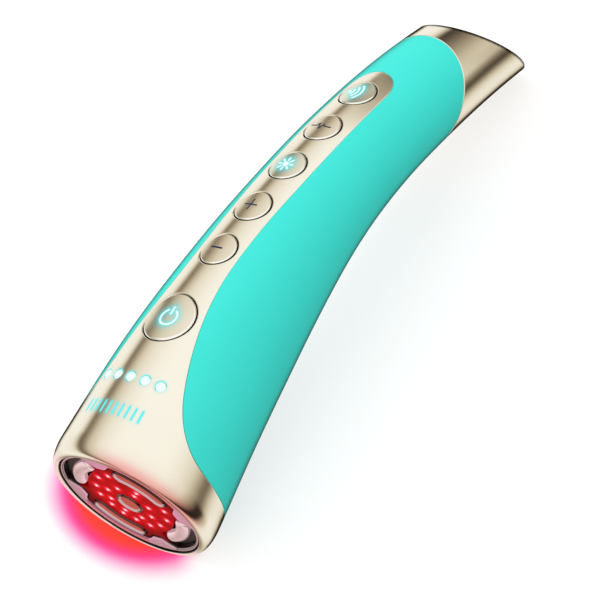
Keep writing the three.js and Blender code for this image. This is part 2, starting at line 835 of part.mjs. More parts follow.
// Layers under the face: carrier, seal, light board, heat sink and the contact pins.
function makeHeadStack() {
  const carrierBack = -(carrierDepth + carrierThickness);
  const pinPlaces = [...pads, ...arcs].map((fan) => facePoint(pinPlace, fan.degrees));
  const pinHole = (p, radius, high) =>
    rod(moved(faceFrame, p.x, p.y, 0), radius, carrierBack, high, dotSides);
  const ring = plate(
    faceFrame,
    circleOutline(carrierRadius, contourSteps / 2),
    carrierBack,
    -carrierDepth,
    [circleOutline(carrierWindowRadius, contourSteps / 2)],
  );
  const holes = pinPlaces.map((p) =>
    rod(moved(faceFrame, p.x, p.y, 0), pinRadius + fitGap, carrierBack - overrun, 0, dotSides),
  );
  addPiece("electrode_carrier", ring.subtract(joined(holes)), blackPlastic);
  const gasket = plate(
    faceFrame,
    circleOutline(carrierRadius + fitGap + gasketWidth, contourSteps / 2),
    carrierBack,
    -carrierDepth,
    [circleOutline(carrierRadius + fitGap, contourSteps / 2)],
  );
  addPiece("head_gasket", gasket, softBlack);
  const pinNames = ["pad_left", "pad_right", "arc_front", "arc_back", "centre"];
  [...pinPlaces, new THREE.Vector2()].forEach((p, i) =>
    addPiece(`contact_pin_${pinNames[i]}`, pinHole(p, pinRadius, -(faceBack + fitGap)), steel),
  );
  const boardBack = -(ledBoardDepth + ledBoardThickness);
  const board = rod(faceFrame, bezelRadius, boardBack, -ledBoardDepth, contourSteps / 2);
  const lamps = ledPlaces().map((p) =>
    rod(moved(faceFrame, p.x, p.y, 0), ledRadius, boardBack, -carrierDepth, leadSides),
  );
  addPiece("led_board", joined([board, ...lamps]), boardGreen);
  makeHeatSink(boardBack - fitGap);
}

// Lights of the face: an even inner ring, and an outer one that is alike on both sides of
// the line through the arcs.
function ledPlaces() {
  const places = [];
  for (let i = 0; i < innerLedCount; i += 1)
    places.push(facePoint(innerLedRadius, arcDegrees + (360 * i) / innerLedCount));
  outerLedDegrees.forEach((degrees, i) =>
    [-1, 1].forEach((side) =>
      places.push(facePoint(outerLedRadius * outerLedShares[i], arcDegrees + side * degrees)),
    ),
  );
  [0, 180].forEach((degrees) =>
    places.push(facePoint(outerLedRadius * endLedShare, arcDegrees + degrees)),
  );
  return places;
}

function makeHeatSink(top) {
  const base = rod(faceFrame, heatSinkRadius, top - heatSinkBase, top, contourSteps / 2);
  const pitch = (2 * heatSinkRadius) / (heatSinkFinCount + 1);
  const fins = [];
  for (let i = 1; i <= heatSinkFinCount; i += 1) {
    const x = i * pitch - heatSinkRadius;
    const long = 2 * Math.sqrt(heatSinkRadius ** 2 - x ** 2) - pitch;
    const high = heatSinkFin + heatSinkBase;
    fins.push(block(faceFrame, [pitch / 3, long, high], [x, 0, top - high / 2]));
  }
  addPiece("heat_sink", joined([base, ...fins]), steel);
}

// The cell lies under the button board in three saddles on one bar.
function makeBattery() {
  const depth = halfDepth(cellStation) - roomInset - 2 * fitGap;
  const frame = moved(sectionFrame(cellStation), 0, cradleFloor + cellRadius - depth, 0);
  const half = cellLength / 2;
  const cell = rod(frame, cellRadius, -half, half, capSides);
  const tip = rod(frame, cellTipRadius, 0, half + cellTipLength, dotSides);
  addPiece("battery_cell", cell.add(tip), cellBlue);
  const deep = headRadius;
  const saddles = [];
  for (let i = 0; i < saddleCount; i += 1) {
    const z = (i - (saddleCount - 1) / 2) * saddlePitch;
    saddles.push(block(frame, [2 * headRadius, deep, saddleWidth], [0, -deep / 2, z]));
  }
  const barLength = (saddleCount - 1) * saddlePitch + saddleWidth;
  saddles.push(block(frame, [2 * cradleBarHalfWidth, deep, barLength], [0, -deep / 2, 0]));
  const room = rod(frame, cellRadius + fitGap, -spineLength, spineLength, capSides);
  addPiece("battery_cradle", joined(saddles).subtract(room).intersect(roomForm), greyPlastic);
  [-1, 1].forEach((side) => {
    const start = moved(frame, side * leadSpread, 0, half + cellTipLength + fitGap);
    const end = moved(mainFrame, side * leadSpread, boardBottom + mainThickness / 2, 0);
    const name = side < 0 ? "battery_lead_negative" : "battery_lead_positive";
    const finish = moved(end, 0, 0, -(mainLength / 2 + fitGap));
    addPiece(name, cableBetween(start, finish, leadRadius), side < 0 ? softBlack : wireRed);
  });
}

// Round wire between two frames; it leaves and arrives along their z.
function cableBetween(start, end, radius) {
  const from = new THREE.Vector3().setFromMatrixPosition(start);
  const to = new THREE.Vector3().setFromMatrixPosition(end);
  const straight = from.distanceTo(to) / 3;
  const curve = new THREE.CubicBezierCurve3(
    from,
    new THREE.Vector3(0, 0, straight).applyMatrix4(start),
    new THREE.Vector3(0, 0, -straight).applyMatrix4(end),
    to,
  );
  const section = new THREE.Shape(circleOutline(radius, leadSides));
  return solid(
    new THREE.ExtrudeGeometry(section, {
      steps: leadSteps,
      extrudePath: curve,
      bevelEnabled: false,
    }),
  );
}

function boardPosts() {
  return [-1, 1].map((side) => crossFrame(mainFrame, 0, side * postSpread));
}

// Main board on two posts, with its chip above and its coil below.
function makeMainBoard() {
  const holes = boardPosts().map((frame) =>
    rod(frame, screwRadius + screwGap, -overrun, overrun, dotSides),
  );
  const middle = boardBottom + mainThickness / 2;
  const board = block(mainFrame, [mainWidth, mainThickness, mainLength], [0, middle, 0]);
  addPiece("main_board", board.subtract(joined(holes)), boardGreen);
  const chipMiddle = -mainDrop + fitGap + chipHeight / 2;
  const chipSize = [chipWidth, chipHeight, chipWidth];
  addPiece("controller_chip", block(mainFrame, chipSize, [0, chipMiddle, chipShift]), softBlack);
  const coilMiddle = boardBottom - fitGap - coilHeight / 2;
  const coil = block(mainFrame, [coilWidth, coilHeight, coilLength], [0, coilMiddle, 0]);
  addPiece("output_transformer", coil, copper);
  boardPosts().forEach((frame, i) => {
    const seat = -mainDrop + fitGap;
    const low = boardBottom - boardScrewLength + fitGap;
    const shaft = rod(frame, screwRadius, low, seat + fitGap, dotSides);
    const head = rod(frame, screwHeadRadius, seat, seat + screwHeadHeight, dotSides);
    addPiece(`board_screw_${i + 1}`, shaft.add(head), steel);
  });
}

// Rounded rectangle about a height in the tail's end frame.
function slotOutline(width, height, round) {
  const points = [];
  for (let i = 0; i < dotSides; i += 1) {
    const angle = (2 * Math.PI * (i + 0.5)) / dotSides;
    const x = Math.sign(Math.cos(angle)) * (width / 2 - round) + round * Math.cos(angle);
    const y = Math.sign(Math.sin(angle)) * (height / 2 - round) + round * Math.sin(angle);
    points.push(new THREE.Vector2(x, y));
  }
  return points;
}

// Plate in the tail's mouth, with the charging socket through it and a shelf for its board.
function makeTailEnd() {
  const frame = moved(tailEndFrame, 0, -socketRise, 0);
  const socketBack = -(plateInset + socketLength);
  const boardTop = socketHeight / 2 + fitGap;
  const boardNear = -(plateBack + fitGap);
  const slab = body(chassisInset, tailEndStation / 2)
    .intersect(beyond(moved(tailEndFrame, 0, 0, -plateBack)))
    .subtract(beyond(moved(tailEndFrame, 0, 0, -plateInset)));
  const hole = slotOutline(
    socketWidth + 2 * fitGap,
    socketHeight + 2 * fitGap,
    socketRound + fitGap,
  );
  const shelfLong = chargeBoardLength + plateThickness;
  const shelfMiddle = boardTop + chargeBoardThickness + fitGap + shelfThickness / 2;
  const shelf = block(
    frame,
    [chargeBoardWidth, shelfThickness, shelfLong],
    [0, shelfMiddle, -plateInset - shelfLong / 2 - fitGap],
  );
  const cover = slab.subtract(plate(frame, hole, -overrun, overrun)).add(shelf);
  addPiece("tail_plate", cover, blackPlastic);
  const rim = slotOutline(socketWidth, socketHeight, socketRound);
  const shell = plate(frame, rim, socketBack, -plateInset);
  const mouth = slotOutline(
    socketWidth - 2 * socketWall,
    socketHeight - 2 * socketWall,
    socketRound - socketWall,
  );
  const tongueLong = socketLength - 2 * socketWall;
  const tongue = block(
    frame,
    [tongueWidth, tongueThickness, tongueLong],
    [0, 0, socketBack + tongueLong / 2],
  );
  const socket = shell.subtract(plate(frame, mouth, socketBack + socketWall, overrun)).add(tongue);
  addPiece("charge_socket", socket, steel);
  const board = block(
    frame,
    [chargeBoardWidth, chargeBoardThickness, chargeBoardLength],
    [0, boardTop + chargeBoardThickness / 2, boardNear - chargeBoardLength / 2],
  );
  addPiece("charge_board", board, boardGreen);
  const start = moved(mainFrame, 0, boardBottom + mainThickness / 2, mainLength / 2 + fitGap);
  const inner = boardNear - chargeBoardLength - fitGap;
  const end = moved(frame, 0, boardTop + chargeBoardThickness / 2, inner);
  addPiece("charge_cable", cableBetween(start, end, leadRadius), wireRed);
}

const mainFrame = sectionFrame(mainStation);
const boardBottom = -(mainDrop + mainThickness);

makeSkins();
makeChassis();
makeButtons();
makeLightGuide();
makeButtonBoard();
makeFace();
makeHeadStack();
makeBattery();
makeMainBoard();
makeTailEnd();

// Lowest point of the outer form on the head's or the tail's side, in the turned device.
function lowest(isTail, tilt) {
  const turn = new THREE.Matrix4().makeRotationX(tilt);
  let low = new THREE.Vector3(0, 0, spineLength);
  device.traverse((mesh) => {
    if (!["front_shell", "tail_cap"].includes(mesh.name)) return;
    if ((mesh.name === "tail_cap") !== isTail) return;
    const places = mesh.geometry.getAttribute("position");
    for (let i = 0; i < places.count; i += 1) {
      const p = new THREE.Vector3().fromBufferAttribute(places, i).applyMatrix4(turn);
      if (p.z < low.z) low = p;
    }
  });
  return low;
}

// Laid down on the back of the head and of the tail.
function restTilt() {
  let tilt = 0;
  for (let i = 0; i < 6; i += 1) {
    const head = lowest(false, tilt);
    const tail = lowest(true, tilt);
    tilt += Math.atan2(head.z - tail.z, tail.y - head.y);
  }
  return tilt;
}

device.rotation.x = restTilt();
device.updateMatrixWorld(true);
const box = new THREE.Box3().setFromObject(device, true);
device.position.set(-(box.min.x + box.max.x) / 2, -(box.min.y + box.max.y) / 2, -box.min.z);
const part = new THREE.Group();
part.add(device);

export default part;
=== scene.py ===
"""Dresses a hand-held facial skincare device for a studio picture.

The body is a bent oval form. Its skin is a champagne metal collar with a strip along the front, a
soft turquoise grip round the rest and a metal cap at the tail. The buttons and lamps sit in the
strip, and the head holds metal electrodes round a red lens. Shapes are worked out in the device's
own frame in millimetres, x across, y towards the tail and z towards the buttons, and are laid
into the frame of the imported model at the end.
"""

import json
import logging
import math
from collections.abc import Callable, Sequence
from dataclasses import dataclass, field, replace
from enum import Enum
from functools import cached_property

import bpy
import numpy as np
from mathutils import Matrix, Vector, geometry, kdtree


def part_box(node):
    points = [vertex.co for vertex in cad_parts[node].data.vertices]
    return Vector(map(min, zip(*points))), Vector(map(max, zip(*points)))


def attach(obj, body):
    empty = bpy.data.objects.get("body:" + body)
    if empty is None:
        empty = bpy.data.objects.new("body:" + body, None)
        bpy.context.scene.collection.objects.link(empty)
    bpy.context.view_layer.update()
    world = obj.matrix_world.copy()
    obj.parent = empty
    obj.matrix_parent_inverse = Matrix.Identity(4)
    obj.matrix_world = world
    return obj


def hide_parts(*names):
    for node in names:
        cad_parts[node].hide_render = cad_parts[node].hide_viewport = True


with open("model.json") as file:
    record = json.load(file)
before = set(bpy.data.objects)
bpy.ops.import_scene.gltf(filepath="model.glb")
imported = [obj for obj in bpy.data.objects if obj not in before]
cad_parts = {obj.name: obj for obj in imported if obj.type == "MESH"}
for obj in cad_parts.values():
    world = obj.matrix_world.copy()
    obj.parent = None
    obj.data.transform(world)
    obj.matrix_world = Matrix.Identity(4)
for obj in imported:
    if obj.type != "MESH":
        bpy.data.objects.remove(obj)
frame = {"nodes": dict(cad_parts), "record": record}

Array = np.ndarray
Rule = Callable[[Array], Array]
Row = tuple[float, ...]
Pair = tuple[float, float]
Levels = tuple[Pair, ...]
Triple = tuple[float, float, float]
Colour = tuple[float, float, float, float]
Names = dict[str, str]
Node = bpy.types.Node
Socket = bpy.types.NodeSocket
Sockets = bpy.types.bpy_prop_collection
LOG = logging.getLogger("skincare_device")
MM = 0.001
OUTLINE_STEP = 0.3


class Body(Enum):
    """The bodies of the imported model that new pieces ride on."""

    DEVICE = "device"
    POWER = "power_button"
    MINUS = "minus_button"
    PLUS = "plus_button"
    LIGHT = "light_button"
    PULSE = "pulse_button"
    WAVE = "wave_button"


def unit(vectors: Array) -> Array:
    """Gives each row of an array the length one."""
    lengths = np.linalg.norm(vectors, axis=-1, keepdims=True)
    return vectors / np.maximum(lengths, 1e-12)


def smooth(places: Array, values: Array, x: Array) -> Array:
    """Follows a table by cubic pieces whose slopes come from the neighbours.

    Args:
        places: Rising places of the table.
        values: Values at those places.
        x: Places to look up.

    Returns:
        The values at x.
    """
    slopes = np.empty_like(values)
    slopes[1:-1] = (values[2:] - values[:-2]) / (places[2:] - places[:-2])
    slopes[0] = (values[1] - values[0]) / (places[1] - places[0])
    slopes[-1] = (values[-1] - values[-2]) / (places[-1] - places[-2])
    i = np.clip(np.searchsorted(places, x) - 1, 0, len(places) - 2)
    step = places[i + 1] - places[i]
    t = (x - places[i]) / step
    rise = values[i + 1] - values[i]
    a = slopes[i] * step - rise
    b = rise - slopes[i + 1] * step
    return values[i] + t * rise + t * (1 - t) * ((1 - t) * a + t * b)


def smoothstep(x: Array, low: float, high: float) -> Array:
    """Rises smoothly from 0 at low to 1 at high."""
    t = np.clip((x - low) / (high - low), 0, 1)
    return t * t * (3 - 2 * t)


@dataclass(frozen=True)
class Frame:
    """A place with three axes, the columns of its matrix."""

    origin: Array
    axes: Array

    def out(self, local: Array) -> Array:
        """Turns points of this frame into points of the device."""
        return self.origin + local @ self.axes.T

    def local(self, points: Array) -> Array:
        """Turns points of the device into points of this frame."""
        return (points - self.origin) @ self.axes

    def moved(self, x: float, y: float, z: float) -> "Frame":
        """Gives the same axes at a place stated in this frame."""
        return Frame(self.out(np.array([x, y, z])), self.axes)

    def lift(self, flat: Array, height: Array | float) -> Array:
        """Gives the device's points at a height over points of this frame's plane."""
        heights = np.broadcast_to(height, flat.shape[:-1])
        return self.out(np.stack([flat[..., 0], flat[..., 1], heights], -1))

    def radius(self, points: Array) -> Array:
        """Gives how far points of the device are from this frame's z axis."""
        return np.linalg.norm(self.local(points)[:, :2], axis=1)


@dataclass(frozen=True)
class Surface:
    """A flat domain laid onto a shape.

    Attributes:
        point: Gives the points of the shape at points of the domain, in millimetres.
        step: How far apart the points are that give a normal.
    """

    point: Rule
    step: float = 0.1

    def slopes(self, flat: Array) -> list[Array]:
        """Gives how the shape runs along the domain and up it, over two steps."""
        return [self.point(flat + step) - self.point(flat - step) for step in self.step * np.eye(2)]

    def normal(self, flat: Array) -> Array:
        """Gives the outward normals at points of the domain."""
        return unit(np.cross(*self.slopes(flat)))


def level(place: Frame, depth: float) -> Surface:
    """Gives a plane below a frame's origin."""
    return Surface(lambda flat: place.lift(flat, -depth))


@dataclass(frozen=True)
class BodyForm:
    """The device's outer form: oval sections along a bent middle line.

    Angles run round the body from the middle of the front towards +x, and stations along the
    middle line from the head's face. The flat domain is the angle times a mean radius, and the
    length along the skin, which also covers the rounding of the rim.
    """

    length: float = 190.0
    head_radius: float = 23.0
    mean_radius: float = 18.0
    rim_depth: float = 6.4
    rim_width: float = 2.4
    spine_steps: int = 380
    station_shares: Row = (0, 0.105, 0.237, 0.368, 0.5, 0.632, 0.763, 0.921, 1)
    half_width_shares: Row = (
        1.02, 0.967, 0.894, 0.814, 0.739, 0.7, 0.684, 0.649, 0.626,
    )
    depth_of_width_shares: Row = (
        0.976, 0.978, 0.98, 0.945, 0.899, 0.862, 0.828, 0.786, 0.77,
    )
    bend_degrees: Row = (0, 0, 4.2, 7.3, 12.7, 19.8, 25, 30.2, 31.5)
    section_degrees: Row = (5.9, 4.6, 4.2, 7.3, 12.7, 19.8, 25, 30.2, 31.5)

    def along(self, table: Sequence[float], station: Array) -> Array:
        """Looks up one of the tables at stations of the body."""
        places = np.array(self.station_shares, float) * self.length
        return smooth(places, np.array(table, float), station)

    @cached_property
    def spine(self) -> Array:
        """The middle line: station, y and z of each of its points."""
        step = self.length / self.spine_steps
        middles = (np.arange(self.spine_steps) + 0.5) * step
        bend = np.radians(self.along(self.bend_degrees, middles))
        y = np.concatenate([[0], np.cumsum(step * np.cos(bend))])
        z = np.concatenate([[0], -np.cumsum(step * np.sin(bend))])
        return np.stack([np.linspace(0, self.length, self.spine_steps + 1), y, z])

    def half_width(self, station: Array) -> Array:
        """Half of the section's width."""
        return self.head_radius * self.along(self.half_width_shares, station)

    def place(self, station: Array, angle: Array, less: Array) -> Array:
        """Points of the body's form, moved in by an amount.

        Args:
            station: Stations along the middle line.
            angle: Angles round the body, in radians.
            less: How far each point is moved in.

        Returns:
            One row of x, y and z for each point.
        """
        wide = self.half_width(station)
        deep = wide * self.along(self.depth_of_width_shares, station)
        turn = np.radians(self.along(self.section_degrees, station))
        out = np.cos(angle) * (deep - less)
        stations, spine_y, spine_z = self.spine
        inside = np.clip(station, 0, self.length)
        y = np.interp(inside, stations, spine_y) + out * np.sin(turn)
        z = np.interp(inside, stations, spine_z) + out * np.cos(turn)
        return np.stack([np.sin(angle) * (wide - less), y, z], -1)

    def station_of(self, run: Array) -> tuple[Array, Array]:
        """Gives the station and the rim's drop for lengths along the skin."""
        phase = np.clip(run / self.rim_depth, -1, 1) * math.pi / 2
        at_rim = run < self.rim_depth
        station = np.where(at_rim, self.rim_depth * (1 - np.cos(phase)), run)
        drop = np.where(at_rim, self.rim_width * (1 - np.sin(phase)), 0)
        return station, drop

    def run_of(self, station: Array) -> Array:
        """Gives the length along the skin for stations."""
        share = np.clip(1 - station / self.rim_depth, -1, 1)
        return np.where(share > 0, self.rim_depth * np.arccos(share) * 2 / math.pi, station)

    @cached_property
    def skin(self) -> Surface:
        """The outer surface."""

        def point(flat: Array) -> Array:
            station, drop = self.station_of(flat[..., 1])
            return self.place(station, flat[..., 0] / self.mean_radius, drop)

        return Surface(point)

    def frame_at(self, station: float, angle: float = 0.0) -> Frame:
        """A frame on the skin: x across, y towards the tail, z out of the body."""
        flat = np.array([[angle * self.mean_radius, float(self.run_of(np.array(station)))]])
        skin = self.skin
        out, tail = skin.normal(flat)[0], unit(skin.slopes(flat)[1][0])
        return Frame(skin.point(flat)[0], np.stack([np.cross(tail, out), tail, out], 1))

    def section(self, station: float) -> Frame:
        """The frame of a section: x across, y towards the front, z towards the head."""
        turn = math.radians(float(self.along(self.section_degrees, np.array(station))))
        stations, spine_y, spine_z = self.spine
        origin = [0, np.interp(station, stations, spine_y), np.interp(station, stations, spine_z)]
        front = [0, math.sin(turn), math.cos(turn)]
        head = [0, -math.cos(turn), math.sin(turn)]
        return Frame(np.array(origin), np.stack([np.array([1.0, 0, 0]), front, head], 1))

    def find(self, place: Frame, targets: Array, start: Array) -> Array:
        """Finds where lines along a frame's z meet the skin.

        Args:
            place: The frame that the targets are stated in.
            targets: The x and y of each line in that frame.
            start: A first guess in the flat domain for each line.

        Returns:
            Points of the flat domain.
        """
        skin = self.skin
        flat = start.astype(float).copy()
        nudge = 0.01
        for _ in range(8):
            here = place.local(skin.point(flat))[:, :2]
            by_x = (place.local(skin.point(flat + [nudge, 0]))[:, :2] - here) / nudge
            by_y = (place.local(skin.point(flat + [0, nudge]))[:, :2] - here) / nudge
            miss = targets - here
            area = by_x[:, 0] * by_y[:, 1] - by_x[:, 1] * by_y[:, 0]
            flat[:, 0] += (miss[:, 0] * by_y[:, 1] - miss[:, 1] * by_y[:, 0]) / area
            flat[:, 1] += (by_x[:, 0] * miss[:, 1] - by_x[:, 1] * miss[:, 0]) / area
        return flat


def circle(radius: float, count: int, middle: Sequence[float] = (0, 0)) -> Array:
    """Points round a circle, counter-clockwise."""
    turn = np.arange(count) * 2 * math.pi / count
    return np.stack([np.cos(turn), np.sin(turn)], -1) * radius + np.array(middle, float)


def inside(points: Array, loops: Sequence[Array]) -> Array:
    """Tells which points lie in the area that closed lines bound, holes left out."""
    odd = np.zeros(len(points), bool)
    x, y = points[:, 0], points[:, 1]
    for loop in loops:
        for (ax, ay), (bx, by) in zip(loop, np.roll(loop, -1, 0)):
            if ay == by:
                continue
            crossed = (ay > y) != (by > y)
            odd ^= crossed & (x < (bx - ax) * (y - ay) / (by - ay) + ax)
    return odd


def even_steps(line: Array, spacing: float, closed: bool = False) -> Array:
    """Lays points at even steps along a line."""
    path = np.vstack([line, line[:1]]) if closed else line
    run = np.concatenate([[0], np.cumsum(np.linalg.norm(np.diff(path, axis=0), axis=1))])
    count = max(3, round(run[-1] / spacing))
    places = np.linspace(0, run[-1], count + 1)
    even = np.stack([np.interp(places, run, path[:, k]) for k in range(path.shape[1])], -1)
    return even[:-1] if closed else even


@dataclass(frozen=True)
class Lip:
    """How a piece's edge is rounded where its top ends.

    Attributes:
        reach: How far the rounding goes outwards.
        drop: How far it goes down.
        steps: Rings of the rounding.
    """

    reach: float | Array
    drop: float
    steps: int = 4

    def rings(self, at: Array, up: Array, away: Array) -> list[tuple[Array, Array]]:
        """Points and normals of each ring of the rounding.

        Args:
            at: Points where the top ends.
            up: Normals there.
            away: Directions out of the piece, in the surface.

        Returns:
            The rings, from the top down.
        """
        made = []
        for phase in np.arange(1, self.steps + 1) * math.pi / 2 / self.steps:
            place = at + self.reach * math.sin(phase) * away - self.drop * (1 - math.cos(phase)) * up
            lean = away * math.sin(phase) / self.reach + up * math.cos(phase) / self.drop
            made.append((place, unit(lean)))
        return made

    def foot(self, at: Array, up: Array, away: Array, depth: float) -> tuple[Array, Array]:
        """Points and normals of the wall's lower end."""
        return at + self.reach * away - depth * up, away


@dataclass(frozen=True)
class PlaneLip:
    """An edge that is rounded into a plane which cuts the piece at a slant.

    Attributes:
        radius: Radius of the rounding.
        out: Normal of the plane.
        inner: Points where the plane meets the underside.
        steps: Rings of the rounding.
    """

    radius: float
    out: Array
    inner: Array
    steps: int = 5

    def rings(self, at: Array, up: Array, away: Array) -> list[tuple[Array, Array]]:
        """Points and normals of each ring of the rounding."""
        between = np.arccos(np.clip(up @ self.out, -1, 1))[:, None]
        made = []
        for share in np.arange(1, self.steps + 1) / self.steps:
            lean = np.sin((1 - share) * between) * up + np.sin(share * between) * self.out
            lean = lean / np.sin(between)
            made.append((at - self.radius * up + self.radius * lean, lean))
        return made

    def foot(self, at: Array, up: Array, away: Array, depth: float) -> tuple[Array, Array]:
        """Points and normals of the inner edge in the plane."""
        return self.inner, np.broadcast_to(self.out, self.inner.shape)


@dataclass(frozen=True)
class Edge:
    """One edge of a piece's top: its line in the flat domain and its lip."""

    line: Array
    lip: Lip | PlaneLip


@dataclass(frozen=True)
class Band:
    """The two lines that bound a top that goes all the way round the body."""

    near: Edge
    far: Edge
    half_round: float


@dataclass
class Shape:
    """A mesh that grows piece by piece, in the device's own frame."""

    points: list[Array] = field(default_factory=list)
    normals: list[Array] = field(default_factory=list)
    faces: list[Array] = field(default_factory=list)
    count: int = 0

    def add(self, points: Array, normals: Array) -> Array:
        """Adds vertices with their normals and returns their numbers."""
        self.points.append(points)
        self.normals.append(normals)
        self.count += len(points)
        return np.arange(self.count - len(points), self.count)

    def ring(self, upper: Array, lower: Array) -> None:
        """Joins two closed rings of vertices; the upper one has the material on its left."""
        ahead_upper, ahead_lower = np.roll(upper, -1), np.roll(lower, -1)
        self.faces.append(np.stack([ahead_upper, upper, lower], 1))
        self.faces.append(np.stack([ahead_upper, lower, ahead_lower], 1))


@dataclass(frozen=True)
class Mesher:
    """Cuts the area between closed lines of a flat domain into fine triangles.

    Attributes:
        spacing: Step of its grid.
        fine: Boxes, each as low and high corner, with a finer step of their own.
    """

    spacing: float
    fine: tuple[tuple[tuple[Pair, Pair], float], ...] = ()

    def grid(self, low: Array | Pair, high: Array | Pair, step: float) -> Array:
        """A grid of even triangles between two corners."""
        rise = step * math.sqrt(3) / 2
        rows = []
        for k, y in enumerate(np.arange(low[1], high[1] + rise, rise)):
            x = np.arange(low[0] + (k % 2) * step / 2, high[0] + step, step)
            rows.append(np.stack([x, np.full_like(x, y)], -1))
        return np.vstack(rows)

    def fill(self, loops: Sequence[Array]) -> tuple[Array, Array]:
        """Triangulates the area that the loops bound.

        Args:
            loops: Closed lines of points.

        Returns:
            The points, the loops' points first, and the triangles.
        """
        border = np.vstack(loops)
        low, high = border.min(0), border.max(0)
        coarse = self.grid(low, high, self.spacing)
        parts = []
        for box, step in self.fine:
            held = np.all((coarse >= box[0]) & (coarse <= box[1]), 1)
            coarse = coarse[~held]
            parts.append((self.grid(box[0], box[1], step), step))
        parts.append((coarse, self.spacing))
        tree = kdtree.KDTree(len(border) * 2)
        for loop in loops:
            for p, q in zip(loop, np.roll(loop, -1, 0)):
                tree.insert((p[0], p[1], 0), 0)
                tree.insert(((p[0] + q[0]) / 2, (p[1] + q[1]) / 2, 0), 0)
        tree.balance()
        kept = []
        for points, step in parts:
            within = points[inside(points, loops)]
            far = [tree.find((x, y, 0))[2] > 0.55 * step for x, y in within]
            kept.append(within[np.array(far, bool)])
        flat = np.vstack([border, *kept])
        lines, start = [], 0
        for loop in loops:
            numbers = np.arange(start, start + len(loop))
            lines += list(zip(numbers.tolist(), np.roll(numbers, -1).tolist()))
            start += len(loop)
        made = geometry.delaunay_2d_cdt([Vector(p) for p in flat], lines, [], 0, 1e-7)
        back = np.array([ids[0] if ids else -1 for ids in made[3]])
        triangles = back[np.array(made[2])]
        triangles = triangles[(triangles >= 0).all(1)]
        middles = flat[triangles].mean(1)
        triangles = triangles[inside(middles, loops)]
        a, b, c = (flat[triangles[:, k]] for k in range(3))
        area = (b[:, 0] - a[:, 0]) * (c[:, 1] - a[:, 1]) - (b[:, 1] - a[:, 1]) * (c[:, 0] - a[:, 0])
        triangles[area < 0] = triangles[area < 0][:, ::-1]
        return flat, triangles[np.abs(area) > 1e-9]


def wound(loop: Array, counter_clockwise: bool) -> Array:
    """Gives a closed line with the wanted sense of turning."""
    ahead = np.roll(loop, -1, 0)
    area = float(np.sum(loop[:, 0] * ahead[:, 1] - loop[:, 1] * ahead[:, 0]))
    return loop if (area > 0) == counter_clockwise else loop[::-1]


@dataclass(frozen=True)
class Slab:
    """A closed piece with a finished top: a surface, its edges and how deep the piece goes.

    The edges are the outline and then the holes, or only the holes where there is a band.
    """

    surface: Surface
    edges: tuple[Edge, ...]
    depth: float
    mesher: Mesher
    band: Band | None = None

    def cut(self) -> tuple[Array, Array, list[Array], list[Lip | PlaneLip]]:
        """Cuts the top's domain into triangles.

        Returns:
            Its points, its triangles, the numbers of each edge's points, and each edge's lip.
        """
        lips = [edge.lip for edge in self.edges]
        if not self.band:
            loops = [wound(edge.line, k == 0) for k, edge in enumerate(self.edges)]
            flat, triangles = self.mesher.fill(loops)
            return flat, triangles, self.numbered(loops, 0), lips
        loops = [wound(edge.line, False) for edge in self.edges]
        near, far = self.band.near.line, self.band.far.line
        side = self.side_points(near[0], far[0])
        right = side + np.array([2 * self.band.half_round, 0])
        outline = np.vstack([near, right, far[::-1], side[::-1]])
        flat, triangles = self.mesher.fill([outline, *loops])
        n, m, k = len(near), len(side), len(far)
        far_start = n + m
        same = np.arange(len(flat))
        same[n - 1] = 0
        same[n:far_start] = far_start + k + np.arange(m)[::-1]
        same[far_start] = far_start + k - 1
        rims = [np.arange(n - 1), np.arange(far_start + 1, far_start + k)]
        rims += self.numbered(loops, len(outline))
        return flat, same[triangles], rims, [self.band.near.lip, self.band.far.lip, *lips]

    def build(self, shape: Shape | None = None) -> Shape:
        """Makes the top, its lips, the walls and the underside.

        Args:
            shape: A shape to add to, or none to start a new one.

        Returns:
            The shape with the piece in it.
        """
        shape = shape or Shape()
        flat, triangles, rims, lips = self.cut()
        used = np.unique(np.concatenate([triangles.ravel(), *rims]))
        renumber = np.full(len(flat), -1)
        renumber[used] = np.arange(len(used))
        flat, triangles = flat[used], renumber[triangles]
        points, normals = self.surface.point(flat), self.surface.normal(flat)
        below = points - self.depth * normals
        for rim, lip in zip(rims, lips):
            if isinstance(lip, PlaneLip):
                over = (below - lip.inner[0]) @ lip.out
                below -= np.maximum(over, 0)[:, None] * lip.out
                below[renumber[rim]] = lip.inner
        top = shape.add(points, normals)
        under = shape.add(below, -normals)
        shape.faces += [top[triangles], under[triangles][:, ::-1]]
        for rim, lip in zip(rims, lips):
            numbers = renumber[rim]
            self.wall(shape, lip, points[numbers], normals[numbers], top[numbers], under[numbers])
        return shape

    def side_points(self, low: Array, high: Array) -> Array:
        """Points between two corners, where a band meets itself."""
        count = max(2, round(abs(high[1] - low[1]) / self.mesher.spacing))
        share = (np.arange(1, count) / count)[:, None]
        return low + (high - low) * share

    @staticmethod
    def numbered(loops: Sequence[Array], start: int) -> list[Array]:
        """Gives the numbers of the loops' points when they follow each other."""
        ends = start + np.cumsum([len(loop) for loop in loops])
        return [np.arange(end - len(loop), end) for end, loop in zip(ends, loops)]

    def wall(
        self, shape: Shape, lip: Lip | PlaneLip, at: Array, up: Array, last: Array, under: Array
    ) -> None:
        """Adds the lip and the wall along one edge.

        Args:
            shape: The shape to add to.
            lip: The rounding of the edge.
            at: The edge's points, with the material on their left.
            up: Normals there.
            last: Numbers of the edge's vertices.
            under: Numbers of the vertices below them.
        """
        ahead = unit(np.roll(at, -1, 0) - at)
        behind = unit(at - np.roll(at, 1, 0))
        away = unit(np.cross(unit(ahead + behind), up))
        for place, lean in lip.rings(at, up, away):
            ring = shape.add(place, lean)
            shape.ring(last, ring)
            last = ring
        foot = shape.add(*lip.foot(at, up, away, self.depth))
        shape.ring(last, foot)
        shape.ring(foot, under)


FORM = BodyForm()
FACE = FORM.section(0)


